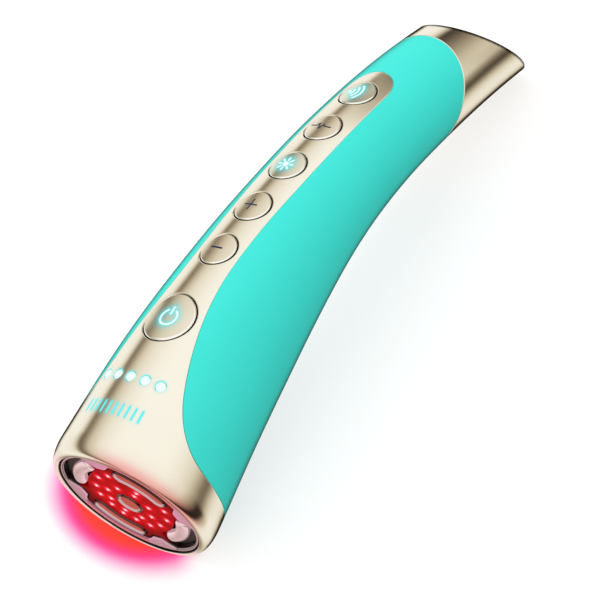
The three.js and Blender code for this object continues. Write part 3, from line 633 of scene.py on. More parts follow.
@dataclass(frozen=True)
class Placing:
    """Lays the device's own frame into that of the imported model, by the treatment face's mount."""

    bezel_middle_depth: float = 1.3

    @cached_property
    def matrix(self) -> Array:
        """Turn and move, in metres, of millimetres of the device."""
        mount = next(m for m in frame["record"]["mounts"] if m["name"] == "treatment_face")
        normal = np.array(mount["axis"], float)
        own = FACE.axes[:, 2]
        turn = math.atan2(normal[2], normal[1]) - math.atan2(own[2], own[1])
        low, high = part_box("bezel_ring")
        middle = np.array((low + high) / 2) + self.bezel_middle_depth * MM * normal
        made = np.eye(4)
        made[:3, :3] = np.array(Matrix.Rotation(turn, 3, "X")) * MM
        made[:3, 3] = middle
        return made

    def points(self, points: Array) -> Array:
        """Points of the device in the row frame, in metres."""
        return points @ self.matrix[:3, :3].T + self.matrix[:3, 3]

    def directions(self, directions: Array) -> Array:
        """Directions of the device in the row frame."""
        return unit(directions @ self.matrix[:3, :3].T)


PLACING = Placing()


def add_piece(
    name: str, shape: Shape, *terms: "Look | str", body: Body = Body.DEVICE, **shares: Rule | None
) -> None:
    """Turns a shape into a finished piece of the scene.

    Args:
        name: Name of the piece.
        shape: The shape, in the device's own frame.
        terms: Its finish, its slot and the nodes that it stands for.
        body: The body that it moves with.
        shares: Functions that give each point a share, by the name of the attribute that keeps
        it: glow for lamps' light, dark for painted shade and dark reflections, warm for
        painted red light and painted highlights, and lit for the lens's light.
    """
    points = np.vstack(shape.points)
    normals = PLACING.directions(np.vstack(shape.normals))
    mesh = bpy.data.meshes.new(name)
    mesh.from_pydata(PLACING.points(points).tolist(), [], np.vstack(shape.faces).tolist())
    mesh.shade_smooth()
    mesh.normals_split_custom_set_from_vertices(normals.tolist())
    for title, share in shares.items():
        if share:
            attribute = mesh.attributes.new(title, "FLOAT", "POINT")
            attribute.data.foreach_set("value", share(points).astype(np.float32))
    settle(linked(name, mesh), *terms, body=body)


def linked(name: str, data: bpy.types.ID) -> bpy.types.Object:
    """Makes an object of the scene from its data."""
    made = bpy.data.objects.new(name, data)
    bpy.context.scene.collection.objects.link(made)
    return made


def settle(
    piece: bpy.types.Object, look: "Look", slot: str, *replaces: str, body: Body = Body.DEVICE
) -> None:
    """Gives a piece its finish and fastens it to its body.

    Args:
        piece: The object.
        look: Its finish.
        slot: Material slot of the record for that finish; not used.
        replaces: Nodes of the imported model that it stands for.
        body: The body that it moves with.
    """
    piece.data.materials.clear()
    piece.data.materials.append(look.value.material)
    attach(piece, body.value)
    if replaces:
        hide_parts(*replaces)
    LOG.info("%s: %d vertices, %s", piece.name, len(piece.data.vertices), look.value.name)


class Line:
    """Closed and open lines that are drawn on the skin or on a flat face."""

    @staticmethod
    def offset(surface: Surface, line: Array, distance: Array | float, closed: bool) -> Array:
        """Moves a line of the flat domain sideways by a real distance.

        Args:
            surface: The surface that the line lies on.
            line: Points of the flat domain.
            distance: How far each point moves to the left of the line's run.
            closed: Whether the line is closed; the ends of an open one move straight up.

        Returns:
            The moved line.
        """
        slopes = [slope / (2 * surface.step) for slope in surface.slopes(line)]
        at, up = surface.point(line), surface.normal(line)
        if closed:
            run = unit(np.roll(at, -1, 0) - np.roll(at, 1, 0))
        else:
            run = np.empty_like(at)
            run[1:-1] = unit(at[2:] - at[:-2])
            run[[0, -1]] = unit(slopes[0][[0, -1]])
        left = unit(np.cross(up, run)) * np.broadcast_to(distance, len(line))[:, None]
        return line + np.stack([(left * slope).sum(1) / (slope * slope).sum(1) for slope in slopes], 1)

    @staticmethod
    def stroke(path: Array, width: float, round_steps: int = 6) -> Array:
        """The outline of a stroke with round ends along an open path."""
        run = np.empty_like(path)
        run[1:-1] = unit(path[2:] - path[:-2])
        run[0], run[-1] = unit(path[1] - path[0]), unit(path[-1] - path[-2])
        side = np.stack([-run[:, 1], run[:, 0]], 1) * width / 2
        ends = []
        for at, along, across in ((path[-1], run[-1], -side[-1]), (path[0], -run[0], side[0])):
            turn = (np.arange(1, round_steps) * math.pi / round_steps)[:, None]
            ends.append(at + across * np.cos(turn) + along * width / 2 * np.sin(turn))
        return np.vstack([path - side, ends[0], (path + side)[::-1], ends[1]])

    @staticmethod
    def arc(radius: float, first: float, last: float, count: int = 40) -> Array:
        """Points of an arc between two angles in degrees, counter-clockwise from +x."""
        turn = np.radians(np.linspace(first, last, count))
        return np.stack([np.cos(turn), np.sin(turn)], 1) * radius

    @staticmethod
    def slot(width: float, height: float, corner: float, steps: int = 8) -> Array:
        """The outline of a rounded rectangle about the origin."""
        middle = np.array([width / 2 - corner, height / 2 - corner])
        signs = ((1, 1), (-1, 1), (-1, -1), (1, -1))
        return np.vstack(
            [Line.arc(corner, 90 * k, 90 * k + 90, steps) + middle * sign for k, sign in enumerate(signs)]
        )


def solve(miss: Rule, low: Array, high: Array) -> Array:
    """Finds for each element where a rising function crosses zero.

    Args:
        miss: The function.
        low: Where it is below zero.
        high: Where it is above zero.

    Returns:
        The crossings.
    """
    low, high = low.astype(float).copy(), high.astype(float).copy()
    for _ in range(40):
        middle = (low + high) / 2
        over = miss(middle) > 0
        high = np.where(over, middle, high)
        low = np.where(over, low, middle)
    return (low + high) / 2


@dataclass(frozen=True, eq=False)
class Glyph:
    """A symbol as strokes and discs, in the plane of the cap that carries it.

    Attributes:
        strokes: Paths with their widths.
        discs: Middle and radius of each disc.
    """

    strokes: tuple[tuple[Array, float], ...] = ()
    discs: tuple[tuple[tuple[float, float], float], ...] = ()

    def outlines(self) -> list[Array]:
        """The closed outline of each mark."""
        made = [Line.stroke(even_steps(path, OUTLINE_STEP), width) for path, width in self.strokes]
        return made + [circle(radius, 28, middle) for middle, radius in self.discs]

    def spine(self) -> Array:
        """Points along the middle of every mark, for the glow round it."""
        made = [even_steps(path, OUTLINE_STEP / 2) for path, _ in self.strokes]
        made += [np.array([middle]) for middle, _ in self.discs]
        return np.vstack(made)


STROKE = 0.42


def straight(*corners: tuple[float, float]) -> Array:
    """Gives a path through corners."""
    return np.array(corners, float)


def ray(turn: float) -> Array:
    """Gives one of the rays of the light symbol, turned by an angle in radians."""
    away = np.array([math.cos(turn), math.sin(turn)])
    return np.stack([1.35 * away, 2.25 * away])


class Symbol(Enum):
    """The symbols of the six buttons."""

    POWER = Glyph(
        ((Line.arc(2.4, 90 + 32, 450 - 32), STROKE), (straight((0, 1.0), (0, 3.1)), STROKE))
    )
    MINUS = Glyph(((straight((-1.7, 0), (1.7, 0)), 0.5),))
    PLUS = Glyph(
        (
            (straight((-1.85, 0), (1.85, 0)), STROKE),
            (straight((0, 0.25), (0, 1.85)), STROKE),
            (straight((0, -0.25), (0, -1.85)), STROKE),
        )
    )
    LIGHT = Glyph(
        tuple((ray(k * math.pi / 4), STROKE) for k in range(8)), discs=(((0, 0), 0.85),)
    )
    PULSE = Glyph(
        (
            (
                straight((-3.1, 0), (-1.5, 0), (-0.9, 1.15), (-0.1, -1.3), (0.65, 0.75), (1.1, 0), (3.1, 0)),
                STROKE,
            ),
        )
    )
    WAVE = Glyph(
        tuple((Line.arc(radius, -42, 42, 16) - [2.3, 0], STROKE) for radius in (1.5, 2.8, 4.1)),
        discs=(((-2.1, 0), 0.5),),
    )


@dataclass(frozen=True)
class Key:
    """One button, named by its symbol: whether that shines, its place, its cap and the shift."""

    symbol: Symbol
    lit: bool
    station: float
    radius: float
    dish: float
    mark_shift: Triple = (0.0, 0.0, 0.0)

    @property
    def name(self) -> str:
        """The button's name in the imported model, less its first word."""
        return self.symbol.name.lower()

    @property
    def body(self) -> Body:
        """The body that the button moves with."""
        return Body[self.symbol.name]

    @cached_property
    def place(self) -> Frame:
        """The frame on the skin at the button's middle."""
        return FORM.frame_at(self.station)


@dataclass(frozen=True)
class Controls:
    """The row of buttons and lamps along the front."""

    power_station: float = 42.6
    power_radius: float = 7.3
    power_dish: float = 0.32
    key_station: float = 64.95
    key_pitch: float = 14.94
    key_radius: float = 5.05
    key_dish: float = 0.09
    key_mark_shift: Triple = (-0.7, 0.35, 0.0)
    cap_gap: float = 0.3
    cap_edge_share: float = 0.07
    cap_rise: float = 0.18
    cap_thickness: float = 1.4
    hole_edge: float = 0.32
    lamp_station: float = 23.9
    lamp_pitch: float = 4.57
    lamp_count: int = 5
    lamp_radius: float = 1.28
    lamp_gap: float = 0.15
    lamp_edge: float = 0.2
    bar_station: float = 14.3
    bar_pitch: float = 1.95
    bar_count: int = 10
    bar_height: float = 3.3
    bar_width: float = 0.5
    bar_thickness: float = 0.12
    key_points: int = 96
    lamp_points: int = 36

    @cached_property
    def keys(self) -> list[Key]:
        """All six buttons, from the head to the tail."""
        made = [Key(Symbol.POWER, True, self.power_station, self.power_radius, self.power_dish)]
        small = (Symbol.MINUS, Symbol.PLUS, Symbol.LIGHT, Symbol.PULSE, Symbol.WAVE)
        for k, symbol in enumerate(small):
            lit = symbol in (Symbol.LIGHT, Symbol.WAVE)
            station = self.key_station + k * self.key_pitch
            made.append(Key(symbol, lit, station, self.key_radius, self.key_dish, self.key_mark_shift))
        return made

    @staticmethod
    def row(station: float, pitch: float, count: int) -> list[Frame]:
        """Frames on the skin at even steps across the front."""
        wide = float(FORM.half_width(np.array(station)))
        shifts = (np.arange(count) - (count - 1) / 2) * pitch
        return [FORM.frame_at(station, shift / wide) for shift in shifts]

    @cached_property
    def lamp_frames(self) -> list[Frame]:
        """Frames on the skin at the row of round lamps."""
        return self.row(self.lamp_station, self.lamp_pitch, self.lamp_count)

    @cached_property
    def bar_frames(self) -> list[Frame]:
        """Frames on the skin at the row of upright bars near the head."""
        return self.row(self.bar_station, self.bar_pitch, self.bar_count)

    @staticmethod
    def round_line(place: Frame, radius: float, count: int) -> Array:
        """A circle about a frame's z, as a line of the skin's flat domain."""
        station = float(np.interp(place.origin[1], FORM.spine[1], FORM.spine[0]))
        angle = math.asin(place.origin[0] / float(FORM.half_width(np.array(station))))
        start = np.array([[angle * FORM.mean_radius, station]] * count)
        return FORM.find(place, circle(radius, count), start)

    def holes(self) -> list[Edge]:
        """The strip's round holes for the caps and the lamps."""
        apart = self.cap_gap + self.hole_edge
        places = [(key.place, key.radius + apart, self.key_points, self.hole_edge) for key in self.keys]
        apart = self.lamp_gap + self.lamp_edge
        radius, count = self.lamp_radius + apart, self.lamp_points
        places += [(place, radius, count, self.lamp_edge) for place in self.lamp_frames]
        return [
            Edge(self.round_line(place, radius, count), Lip(edge, edge))
            for place, radius, count, edge in places
        ]

    def glow_points(self) -> Array:
        """Points of every lit mark on the strip, in the device's frame."""
        rim = circle(self.lamp_radius, 24)
        heights = np.linspace(-0.5, 0.5, 13) * self.bar_height
        bar = np.stack([np.zeros_like(heights), heights], 1)
        made = [place.lift(rim, 0.0) for place in self.lamp_frames]
        return np.vstack(made + [place.lift(bar, 0.0) for place in self.bar_frames])


CONTROLS = Controls()


def glow_from(sources: Array, reach: float, halo: float = 0.0) -> Rule:
    """Makes a function that gives how much light points get from lit marks near them.

    Args:
        sources: Points of the marks.
        reach: Distance at which the light has mostly faded.
        halo: Share of the light that reaches three times as far.

    Returns:
        The function from points to shares of light.
    """
    tree = kdtree.KDTree(len(sources))
    for k, source in enumerate(sources):
        tree.insert(source, k)
    tree.balance()

    def light(points: Array) -> Array:
        distance = np.array([tree.find(p)[2] for p in points])
        near = np.exp(-((distance / reach) ** 2))
        return (1 - halo) * near + halo * np.exp(-((distance / reach / 3) ** 2))

    return light


@dataclass(frozen=True)
class Skins:
    """The collar with its strip, the soft grip and the cap at the tail."""

    wall: float = 1.8
    seam_gap: float = 0.03
    bore_radius: float = 20.1
    rim_drop: float = 0.5
    collar_depth: float = 9.8
    strip_end: float = 130.3
    strip_end_radius: float = 7.5
    strip_place_shares: Row = (
        0.078, 0.104, 0.138, 0.18, 0.234, 0.299, 0.376, 0.46, 0.575, 0.729, 0.86, 1,
    )
    strip_half_widths: Row = (
        1.01, 0.878, 0.757, 0.652, 0.557, 0.461, 0.37, 0.313, 0.304, 0.326, 0.335,
    )
    left_places: Row = (0, 27, 35, 42, 50, 60, 85, 100, 115, 138)
    left_shares: Row = (0.78, 0.8, 0.87, 0.92, 0.96, 1, 1, 0.93, 0.9, 0.88)
    collar_from_degrees: float = 97.0
    strip_from_degrees: float = 80.0
    strip_last_station: float = 127.2
    seam_station: float = 145.8
    seam_degrees: float = 36.9
    end_station: float = 172.2
    end_rise_degrees: float = 12.9
    end_round: float = 0.4
    metal_edge: float = 0.3
    soft_edge: float = 0.06
    line_step: float = 0.45
    left_from_turn: float = 1.05
    left_to_turn: float = 1.75
    collar_window: Pair = (3, 25)
    seam_window: Pair = (110, 185)
    end_window: Pair = (150, 190)
    smoothing: int = 16
    rim_points: int = 241
    metal_step: float = 0.75
    soft_step: float = 1.2
    cap_step: float = 0.5
    lamp_box: tuple[Pair, Pair] = ((-14.0, 9.0), (14.0, 29.0))
    lamp_step: float = 0.36
    mark_reach: float = 0.3
    mark_halo: float = 0.12
    lens_side: Pair = (0.766, 0.643)
    pink_share: float = 0.6
    pink_reach: float = 2.3
    pink_facing: Pair = (0.55, 0.92)
    lit_share: float = 0.8
    lit_radius: float = 20.3
    lit_height: Pair = (-1.6, -0.9)
    lit_facing: Pair = (-0.3, 0.2)
    bore_inward: Pair = (-20.4, -20.15)
    bore_shade_depth: float = 4.0
    mouth_depth: Pair = (0.55, 0.95)

    @property
    def round_half(self) -> float:
        """Half of the flat domain's width, all the way round the body."""
        return math.pi * FORM.mean_radius

    def strip_width(self, y: Array) -> Array:
        """Half of the strip's width, seen square on, at a distance from the head."""
        places = np.array(self.strip_place_shares) * self.strip_end
        widths = np.array(self.strip_half_widths) * FORM.head_radius
        widths = np.append(widths, self.strip_end_radius)
        return smooth(places, widths, np.maximum(y, places[0]))

    def cut(self, angle: Array, at: Array, normal: Array, window: Pair, inset: float = 0.0) -> Array:
        """Stations in a window where the form, moved in by an inset, meets a plane."""
        less = np.full_like(angle, inset)

        def miss(station: Array) -> Array:
            return (FORM.place(station, angle, less) - at) @ normal

        return solve(miss, *(np.full_like(angle, station) for station in window))

    @cached_property
    def front_seam(self) -> Array:
        """The middle of the seam round collar and strip, from one back line to the other."""
        round_turn = np.radians(np.linspace(180, self.collar_from_degrees, 120))
        behind = FACE.moved(0, 0, -self.collar_depth)
        collar = self.cut(round_turn, behind.origin, -FACE.axes[:, 2], self.collar_window)
        first = np.stack([round_turn * FORM.mean_radius, FORM.run_of(collar)], 1)
        stations = np.linspace(9, self.strip_last_station, 400)

        def wide(angle: Array) -> Array:
            at = FORM.place(stations, angle, FORM.station_of(stations)[1])
            return at[:, 0] - self.strip_width(at[:, 1])

        angle = solve(wide, np.zeros_like(stations), np.full_like(stations, math.pi / 2))
        kept = angle < math.radians(self.strip_from_degrees)
        second = np.stack([angle * FORM.mean_radius, stations], 1)[kept]
        turn = np.radians(np.linspace(2, 90, 50))
        tip = np.stack([np.cos(turn), np.sin(turn)], 1) * self.strip_end_radius
        tip[:, 1] += self.strip_end
        top_view = Frame(np.zeros(3), np.eye(3))
        third = FORM.find(top_view, tip, tip * [1.2, 1])
        half = even_steps(np.vstack([first, second, third]), self.line_step)
        for _ in range(self.smoothing):
            half[1:-1] = half[1:-1] / 2 + (half[2:] + half[:-2]) / 4
        near_top = 1 - smoothstep(half[:, 0] / FORM.mean_radius, self.left_from_turn, self.left_to_turn)
        less = (1 - smooth(np.array(self.left_places), np.array(self.left_shares), half[:, 1])) * near_top
        mirrored = half * np.stack([less - 1, np.ones_like(less)], 1)
        return np.vstack([mirrored[:-1], half[::-1]])

    @cached_property
    def tail_seam(self) -> Array:
        """The middle of the seam between the grip and the tail cap."""
        section = FORM.section(self.seam_station)
        slant = math.radians(self.seam_degrees)
        normal = -math.cos(slant) * section.axes[:, 2] - math.sin(slant) * section.axes[:, 1]
        angle = np.linspace(-math.pi, math.pi, 257)
        seam = self.cut(angle, section.origin, normal, self.seam_window)
        return np.stack([angle * FORM.mean_radius, FORM.run_of(seam)], 1)

    @cached_property
    def end_frame(self) -> Frame:
        """The plane of the tail's mouth: z out of it, y down."""
        rise = math.radians(self.end_rise_degrees)
        out = np.array([0, math.cos(rise), math.sin(rise)])
        down = np.array([0, math.sin(rise), -math.cos(rise)])
        origin = FORM.section(self.end_station).origin
        return Frame(origin, np.stack([np.array([1.0, 0, 0]), down, out], 1))

    def end_points(self, angle: Array, inset: float) -> Array:
        """Points of the tail's mouth, moved in from the skin by an inset."""
        end = self.end_frame
        station = self.cut(angle, end.origin, end.axes[:, 2], self.end_window, inset)
        return FORM.place(station, angle, np.full_like(angle, inset))

    def end_edge(self) -> Edge:
        """The rounded edge of the tail's mouth, which ends square to the mouth's plane."""
        angle = np.linspace(-math.pi, math.pi, 257)
        end = self.end_frame
        mouth = self.cut(angle, end.origin, end.axes[:, 2], self.end_window)
        sharp = np.stack([angle * FORM.mean_radius, FORM.run_of(mouth)], 1)
        skin = FORM.skin
        between = np.arccos(skin.normal(sharp) @ end.axes[:, 2])
        line = Line.offset(skin, sharp, -self.end_round * np.tan(between / 2), False)
        foot = self.end_points(angle, self.wall)
        return Edge(line, PlaneLip(self.end_round, end.axes[:, 2], foot[::-1][1:]))

    def seam_edge(self, seam: Array, side: int, edge: float) -> Edge:
        """A rounded edge beside a seam, on its tail side (1) or its head side (-1)."""
        line = Line.offset(FORM.skin, seam, side * (self.seam_gap / 2 + edge), False)
        return Edge(line, Lip(edge, edge))

    def front_shell(self) -> Shape:
        """The collar and the strip, with holes for the buttons and the lamps."""
        skin, half = FORM.skin, self.round_half
        rim = np.stack([np.linspace(-half, half, self.rim_points), np.zeros(self.rim_points)], 1)
        reach = FACE.radius(skin.point(rim)[:-1]) - self.bore_radius
        near = Edge(rim, Lip(reach[:, None], self.rim_drop, steps=6))
        far = self.seam_edge(self.front_seam, -1, self.metal_edge)
        mesher = Mesher(self.metal_step, ((self.lamp_box, self.lamp_step),))
        return Slab(skin, tuple(CONTROLS.holes()), self.wall, mesher, Band(near, far, half)).build()

    def grip(self) -> Shape:
        """The soft skin round the body."""
        near = self.seam_edge(self.front_seam, 1, self.soft_edge)
        far = self.seam_edge(self.tail_seam, -1, self.soft_edge)
        band = Band(near, far, self.round_half)
        return Slab(FORM.skin, (), self.wall, Mesher(self.soft_step), band).build()

    def tail_cap(self) -> Shape:
        """The metal cap at the tail, open at its end."""
        near = self.seam_edge(self.tail_seam, 1, self.metal_edge)
        band = Band(near, self.end_edge(), self.round_half)
        return Slab(FORM.skin, (), self.wall, Mesher(self.cap_step), band).build()

    def facing_lens(self, points: Array) -> Array:
        """How far points lie on the side of the collar where the lens's red light is painted, from -1 to 1.
        """
        local = FACE.local(points)[:, :2]
        return local @ np.array(self.lens_side) / np.linalg.norm(local, axis=1)

    def painted_pink_light(self, points: Array) -> Array:
        """Painted light: the lens's red light on the outside of the collar, which fades with the distance.
        """
        depth = FACE.local(points)[:, 2]
        facing = smoothstep(self.facing_lens(points), *self.pink_facing)
        return self.pink_share * facing * np.exp(-((depth / self.pink_reach) ** 2))

    def lens_light(self, points: Array) -> Array:
        """The lens's pale light, painted on the rim across from its painted red light."""
        ring = smoothstep(FACE.local(points)[:, 2], *self.lit_height)
        ring *= FACE.radius(points) > self.lit_radius
        return self.lit_share * ring * smoothstep(-self.facing_lens(points), *self.lit_facing)

    def bore_shade(self, points: Array) -> Array:
        """Painted shade in the gap between the collar and the bezel."""
        inward = smoothstep(-FACE.radius(points), *self.bore_inward)
        return inward * (FACE.local(points)[:, 2] > -self.bore_shade_depth)

    def mouth_shade(self, points: Array) -> Array:
        """Painted shade at the edge of the tail's mouth."""
        return 1 - smoothstep(-self.end_frame.local(points)[:, 2], *self.mouth_depth)

    def build(self) -> None:
        """Makes and dresses the collar with its strip, the grip and the tail cap."""
        metal = (Look.GOLD, "champagne_metal")
        glow = glow_from(CONTROLS.glow_points(), self.mark_reach, self.mark_halo)
        # The shell's colour holds the lamps' glow, painted shade in the gap at the bore, the lens's painted
        # red light beside the head and its painted pale light on the rim.
        add_piece(
            "metal_front_shell", self.front_shell(), *metal, "front_shell",
            glow=glow, dark=self.bore_shade, warm=self.painted_pink_light, lit=self.lens_light,
        )
        add_piece("soft_grip_skin", self.grip(), Look.SOFT, "soft_grip", "grip_sleeve")
        # Painted shade at the edge of the tail's mouth.
        add_piece("metal_tail_cap", self.tail_cap(), *metal, "tail_cap", dark=self.mouth_shade)


SKINS = Skins()


def face_point(radius: Array | float, degrees: Array | float) -> Array:
    """Gives a point of the face's plane by radius and by angle from the front, towards +x."""
    turn = np.radians(degrees)
    return np.stack([radius * np.sin(turn), radius * np.cos(turn)], -1)


def face_degrees(flat: Array) -> Array:
    """Gives the angle from the front, towards +x, of points of the face's plane."""
    return np.degrees(np.arctan2(flat[..., 0], flat[..., 1]))


def off_axis(degrees: Array, centre: float, period: float) -> Array:
    """Gives degrees between directions and the nearest of those that repeat with a period."""
    turns = (degrees - centre) / period
    return np.abs(turns - np.round(turns)) * period


@dataclass(frozen=True)
class Fan:
    """A rounded rectangle bent round the middle of the face: the outline of an electrode.

    Attributes:
        degrees: Its direction, from the front towards +x.
        inner: Its inner radius.
        outer: Its outer radius.
        half_degrees: Half of the angle that it covers.
        round: Radius of its corners.
    """

    degrees: float
    inner: float
    outer: float
    half_degrees: float
    round: float

    @property
    def mean(self) -> float:
        """The radius of its middle line."""
        return (self.inner + self.outer) / 2

    def pair(self) -> list["Fan"]:
        """Itself and its twin across the face."""
        return [self, replace(self, degrees=self.degrees + 180)]

    def outline(self, grow: float) -> Array:
        """The outline in the plane of the face, grown by a margin."""
        corner = max(self.round + grow, 0.1)
        wide = 2 * (self.mean * math.radians(self.half_degrees) + grow)
        high = self.outer - self.inner + 2 * grow
        bent = even_steps(Line.slot(wide, high, corner, steps=10), OUTLINE_STEP, closed=True)
        return face_point(self.mean + bent[:, 1], self.degrees + np.degrees(bent[:, 0] / self.mean))

    def inside(self, flat: Array) -> Array:
        """How far points of the face's plane lie inside the outline."""
        off = off_axis(face_degrees(flat), self.degrees, 360)
        along = np.radians(off - self.half_degrees) * self.mean + self.round
        high = (self.outer - self.inner) / 2
        across = np.abs(np.linalg.norm(flat, axis=-1) - self.mean) - high + self.round
        corner = np.hypot(np.maximum(along, 0), np.maximum(across, 0))
        return self.round - corner - np.minimum(np.maximum(along, across), 0)


@dataclass(frozen=True)
class TreatmentHead:
    """What shows in the head's mouth: the bezel, the electrodes, the lens and its lamps."""

    bezel_radius: float = 19.8
    bezel_depth: float = 0.5
    bezel_back: float = 2.1
    bezel_edge: float = 0.75
    bezel_outer_edge: float = 0.3
    pad_share: float = 0.955
    arc_share: float = 0.894
    lobe_share: float = 0.765
    lobe_crest_degrees: float = 4
    lobe_foot_degrees: float = 15
    bezel_step: float = 0.25
    bezel_light_share: float = 0.8
    dark_share: float = 0.95
    arc_dark_share: float = 0.85
    arc_turn: Pair = (28, 36)
    shade_stripe_pitch: float = 0.8
    shade_stripe_start: float = 0.32
    groove_wave: Pair = (0.45, 0.9)
    shade_stripe_turn: Pair = (10, 16)
    wall_depth: Pair = (0.12, 0.45)
    pad_outline: Fan = Fan(134, inner=12.6, outer=17.1, half_degrees=29, round=1.6)
    pad_depth: float = 0.35
    pad_edge: float = 1.5
    pad_rise: float = 0.85
    pad_thickness: float = 1.75
    pad_crown: float = 0.12
    crown_width: float = 0.75
    crown_length: float = 6
    pad_light_share: float = 0.55
    arc_outline: Fan = Fan(44, inner=12.2, outer=16.4, half_degrees=30.5, round=2)
    arc_depth: float = 0.5
    arc_edge: float = 0.15
    arc_thickness: float = 1.6
    tray_depth: float = 0.4
    tray_step: float = 0.18
    tray_fall: Pair = (0.16, 0.5)
    slope_share: float = 0.55
    slope_inward: Pair = (0.02, 0.16)
    slope_facing: Pair = (0.1, 0.7)
    floor_inward: Pair = (0.26, 0.7)
    unlit_share: float = 0.94
    centre_radius: float = 3.4
    centre_depth: float = 0.6
    centre_edge: float = 0.2
    centre_thickness: float = 1.5
    lens_depth: float = 1.0
    lens_thickness: float = 1.1
    lens_edge: float = 0.12
    lens_gap: float = 0.3
    lens_pad_gap: float = 0.4
    lens_turn: Pair = (31, 36)
    lens_dark_share: float = 0.8
    lens_dark_radius: Pair = (8, 16.5)
    lamp_radius: float = 0.38
    lamp_rise: float = 0.28
    inner_lamp_radius: float = 6.4
    inner_lamp_count: int = 8
    outer_lamp_radius: float = 12.0
    outer_lamps: Levels = ((43, 1), (68, 0.9), (102, 0.8), (130, 0.8), (156, 0.74))
    end_lamp_share: float = 0.765
    lamp_reach: float = 8.0
    halo_reach: float = 1.35
    halo_share: float = 0.26

    def contour_radius(self, degrees: Array) -> Array:
        """Radius of the bezel's wavy inner edge."""
        lobe = off_axis(degrees, 0, 90)
        share = 1 - smoothstep(lobe, self.lobe_crest_degrees, self.lobe_foot_degrees)
        at_pad = off_axis(degrees, self.pad_outline.degrees, 180) < 45
        wide = np.where(at_pad, self.pad_share, self.arc_share)
        return self.bezel_radius * (wide + (self.lobe_share - wide) * share)

    def lens_radius(self, degrees: Array) -> Array:
        """Radius of the lens, which draws back to the inner edge of the pads."""
        share = smoothstep(off_axis(degrees, self.pad_outline.degrees, 180), *self.lens_turn)
        at_pad = self.pad_outline.inner - self.lens_pad_gap
        return at_pad + (self.contour_radius(degrees) - self.lens_gap - at_pad) * share

    def contour(self, radius_at: Rule, grow: float) -> Array:
        """A wavy line round the face, moved outwards by a margin."""
        degrees = np.linspace(0, 360, 1440, endpoint=False)
        line = even_steps(face_point(radius_at(degrees), degrees), OUTLINE_STEP, closed=True)
        for _ in range(2):
            line = line / 2 + (np.roll(line, 1, 0) + np.roll(line, -1, 0)) / 4
        return Line.offset(level(FACE, 0), line, grow, True)

    @cached_property
    def glow_points(self) -> Array:
        """Middles of the lamps: an even inner ring and an outer one alike on both sides."""
        front = self.arc_outline.degrees
        step = 360 / self.inner_lamp_count
        inner = [(self.inner_lamp_radius, front + step * k) for k in range(self.inner_lamp_count)]
        outer = [
            (self.outer_lamp_radius * share, front + side * degrees)
            for degrees, share in self.outer_lamps
            for side in (-1, 1)
        ]
        ends = [(self.outer_lamp_radius * self.end_lamp_share, front + turn) for turn in (0, 180)]
        flat = np.array([face_point(*place) for place in inner + outer + ends])
        return FACE.lift(flat, -self.lens_depth)

    @cached_property
    def near_lamps(self) -> Rule:
        """How much of the lamps' light reaches a point of the head."""
        return glow_from(self.glow_points, self.lamp_reach)

    def bezel(self) -> Shape:
        """The ring with its wavy, rounded inner edge."""
        small = self.bezel_outer_edge
        outer = Edge(circle(self.bezel_radius - small, 220), Lip(small, small))
        wavy = self.contour(self.contour_radius, self.bezel_edge)
        inner = Edge(wavy, Lip(self.bezel_edge, self.bezel_edge, steps=7))
        thick = self.bezel_back - self.bezel_depth
        top = level(FACE, self.bezel_depth)
        return Slab(top, (outer, inner), thick, Mesher(self.bezel_step)).build()

    def wall_and_stripe_shade(self, points: Array) -> Array:
        """Painted shade on the bezel's inner wall, and stripes of painted shade beside it, between its
        lobes.
        """
        local = FACE.local(points)
        down = -local[:, 2] - self.bezel_depth
        degrees = face_degrees(local)
        out = np.linalg.norm(local[:, :2], axis=1) - self.contour_radius(degrees)
        wave = np.cos((out - self.shade_stripe_start) * 2 * math.pi / self.shade_stripe_pitch)
        stripe = smoothstep(wave, *self.groove_wave)
        stripe *= smoothstep(off_axis(degrees, 0, 90), *self.shade_stripe_turn)
        return np.maximum(smoothstep(down, *self.wall_depth), stripe)

    def at_arc(self, points: Array) -> Array:
        """The parts of the bezel beside the arcs."""
        degrees = face_degrees(FACE.local(points))
        return 1 - smoothstep(off_axis(degrees, self.arc_outline.degrees, 180), *self.arc_turn)

    def bezel_dark(self, points: Array) -> Array:
        """Painted dark reflection and shade, where the bezel mirrors the dark of the head's mouth."""
        at_arc = self.arc_dark_share * self.at_arc(points)
        return self.dark_share * np.maximum(self.wall_and_stripe_shade(points), at_arc)

    def bezel_light(self, points: Array) -> Array:
        """The lamps' light on the bezel, strongest beside the arcs."""
        share = self.at_arc(points)
        light = self.bezel_light_share * self.near_lamps(points) * (1 - share) + share
        return light * (1 - self.wall_and_stripe_shade(points))

    def pad(self, fan: Fan) -> Shape:
        """A domed electrode."""
        edge = Edge(fan.outline(-self.pad_edge), Lip(self.pad_edge, self.pad_rise, steps=10))
        return Slab(self.dome(fan), (edge,), self.pad_thickness, Mesher(OUTLINE_STEP)).build()

    def dome(self, fan: Fan) -> Surface:
        """The crowned top of a pad, highest along the middle of its outline."""
        middle = face_point(fan.mean, fan.degrees)

        def point(flat: Array) -> Array:
            across = (np.linalg.norm(flat, axis=-1) - fan.mean) / self.crown_width
            along = np.linalg.norm(flat - middle, axis=-1) / self.crown_length
            return FACE.lift(flat, -self.pad_depth - self.pad_crown * (across**2 + along**2))

        return Surface(point)

    def pad_light(self, points: Array) -> Array:
        """The lamps' light on the pads."""
        return self.pad_light_share * self.near_lamps(points)

    def arc(self, fan: Fan) -> Shape:
        """A flat electrode with a shallow tray."""
        edge = Edge(fan.outline(-self.arc_edge), Lip(self.arc_edge, self.arc_edge, steps=3))
        top = self.tray(self.arc_depth, fan.inside)
        return Slab(top, (edge,), self.arc_thickness, Mesher(self.tray_step)).build()

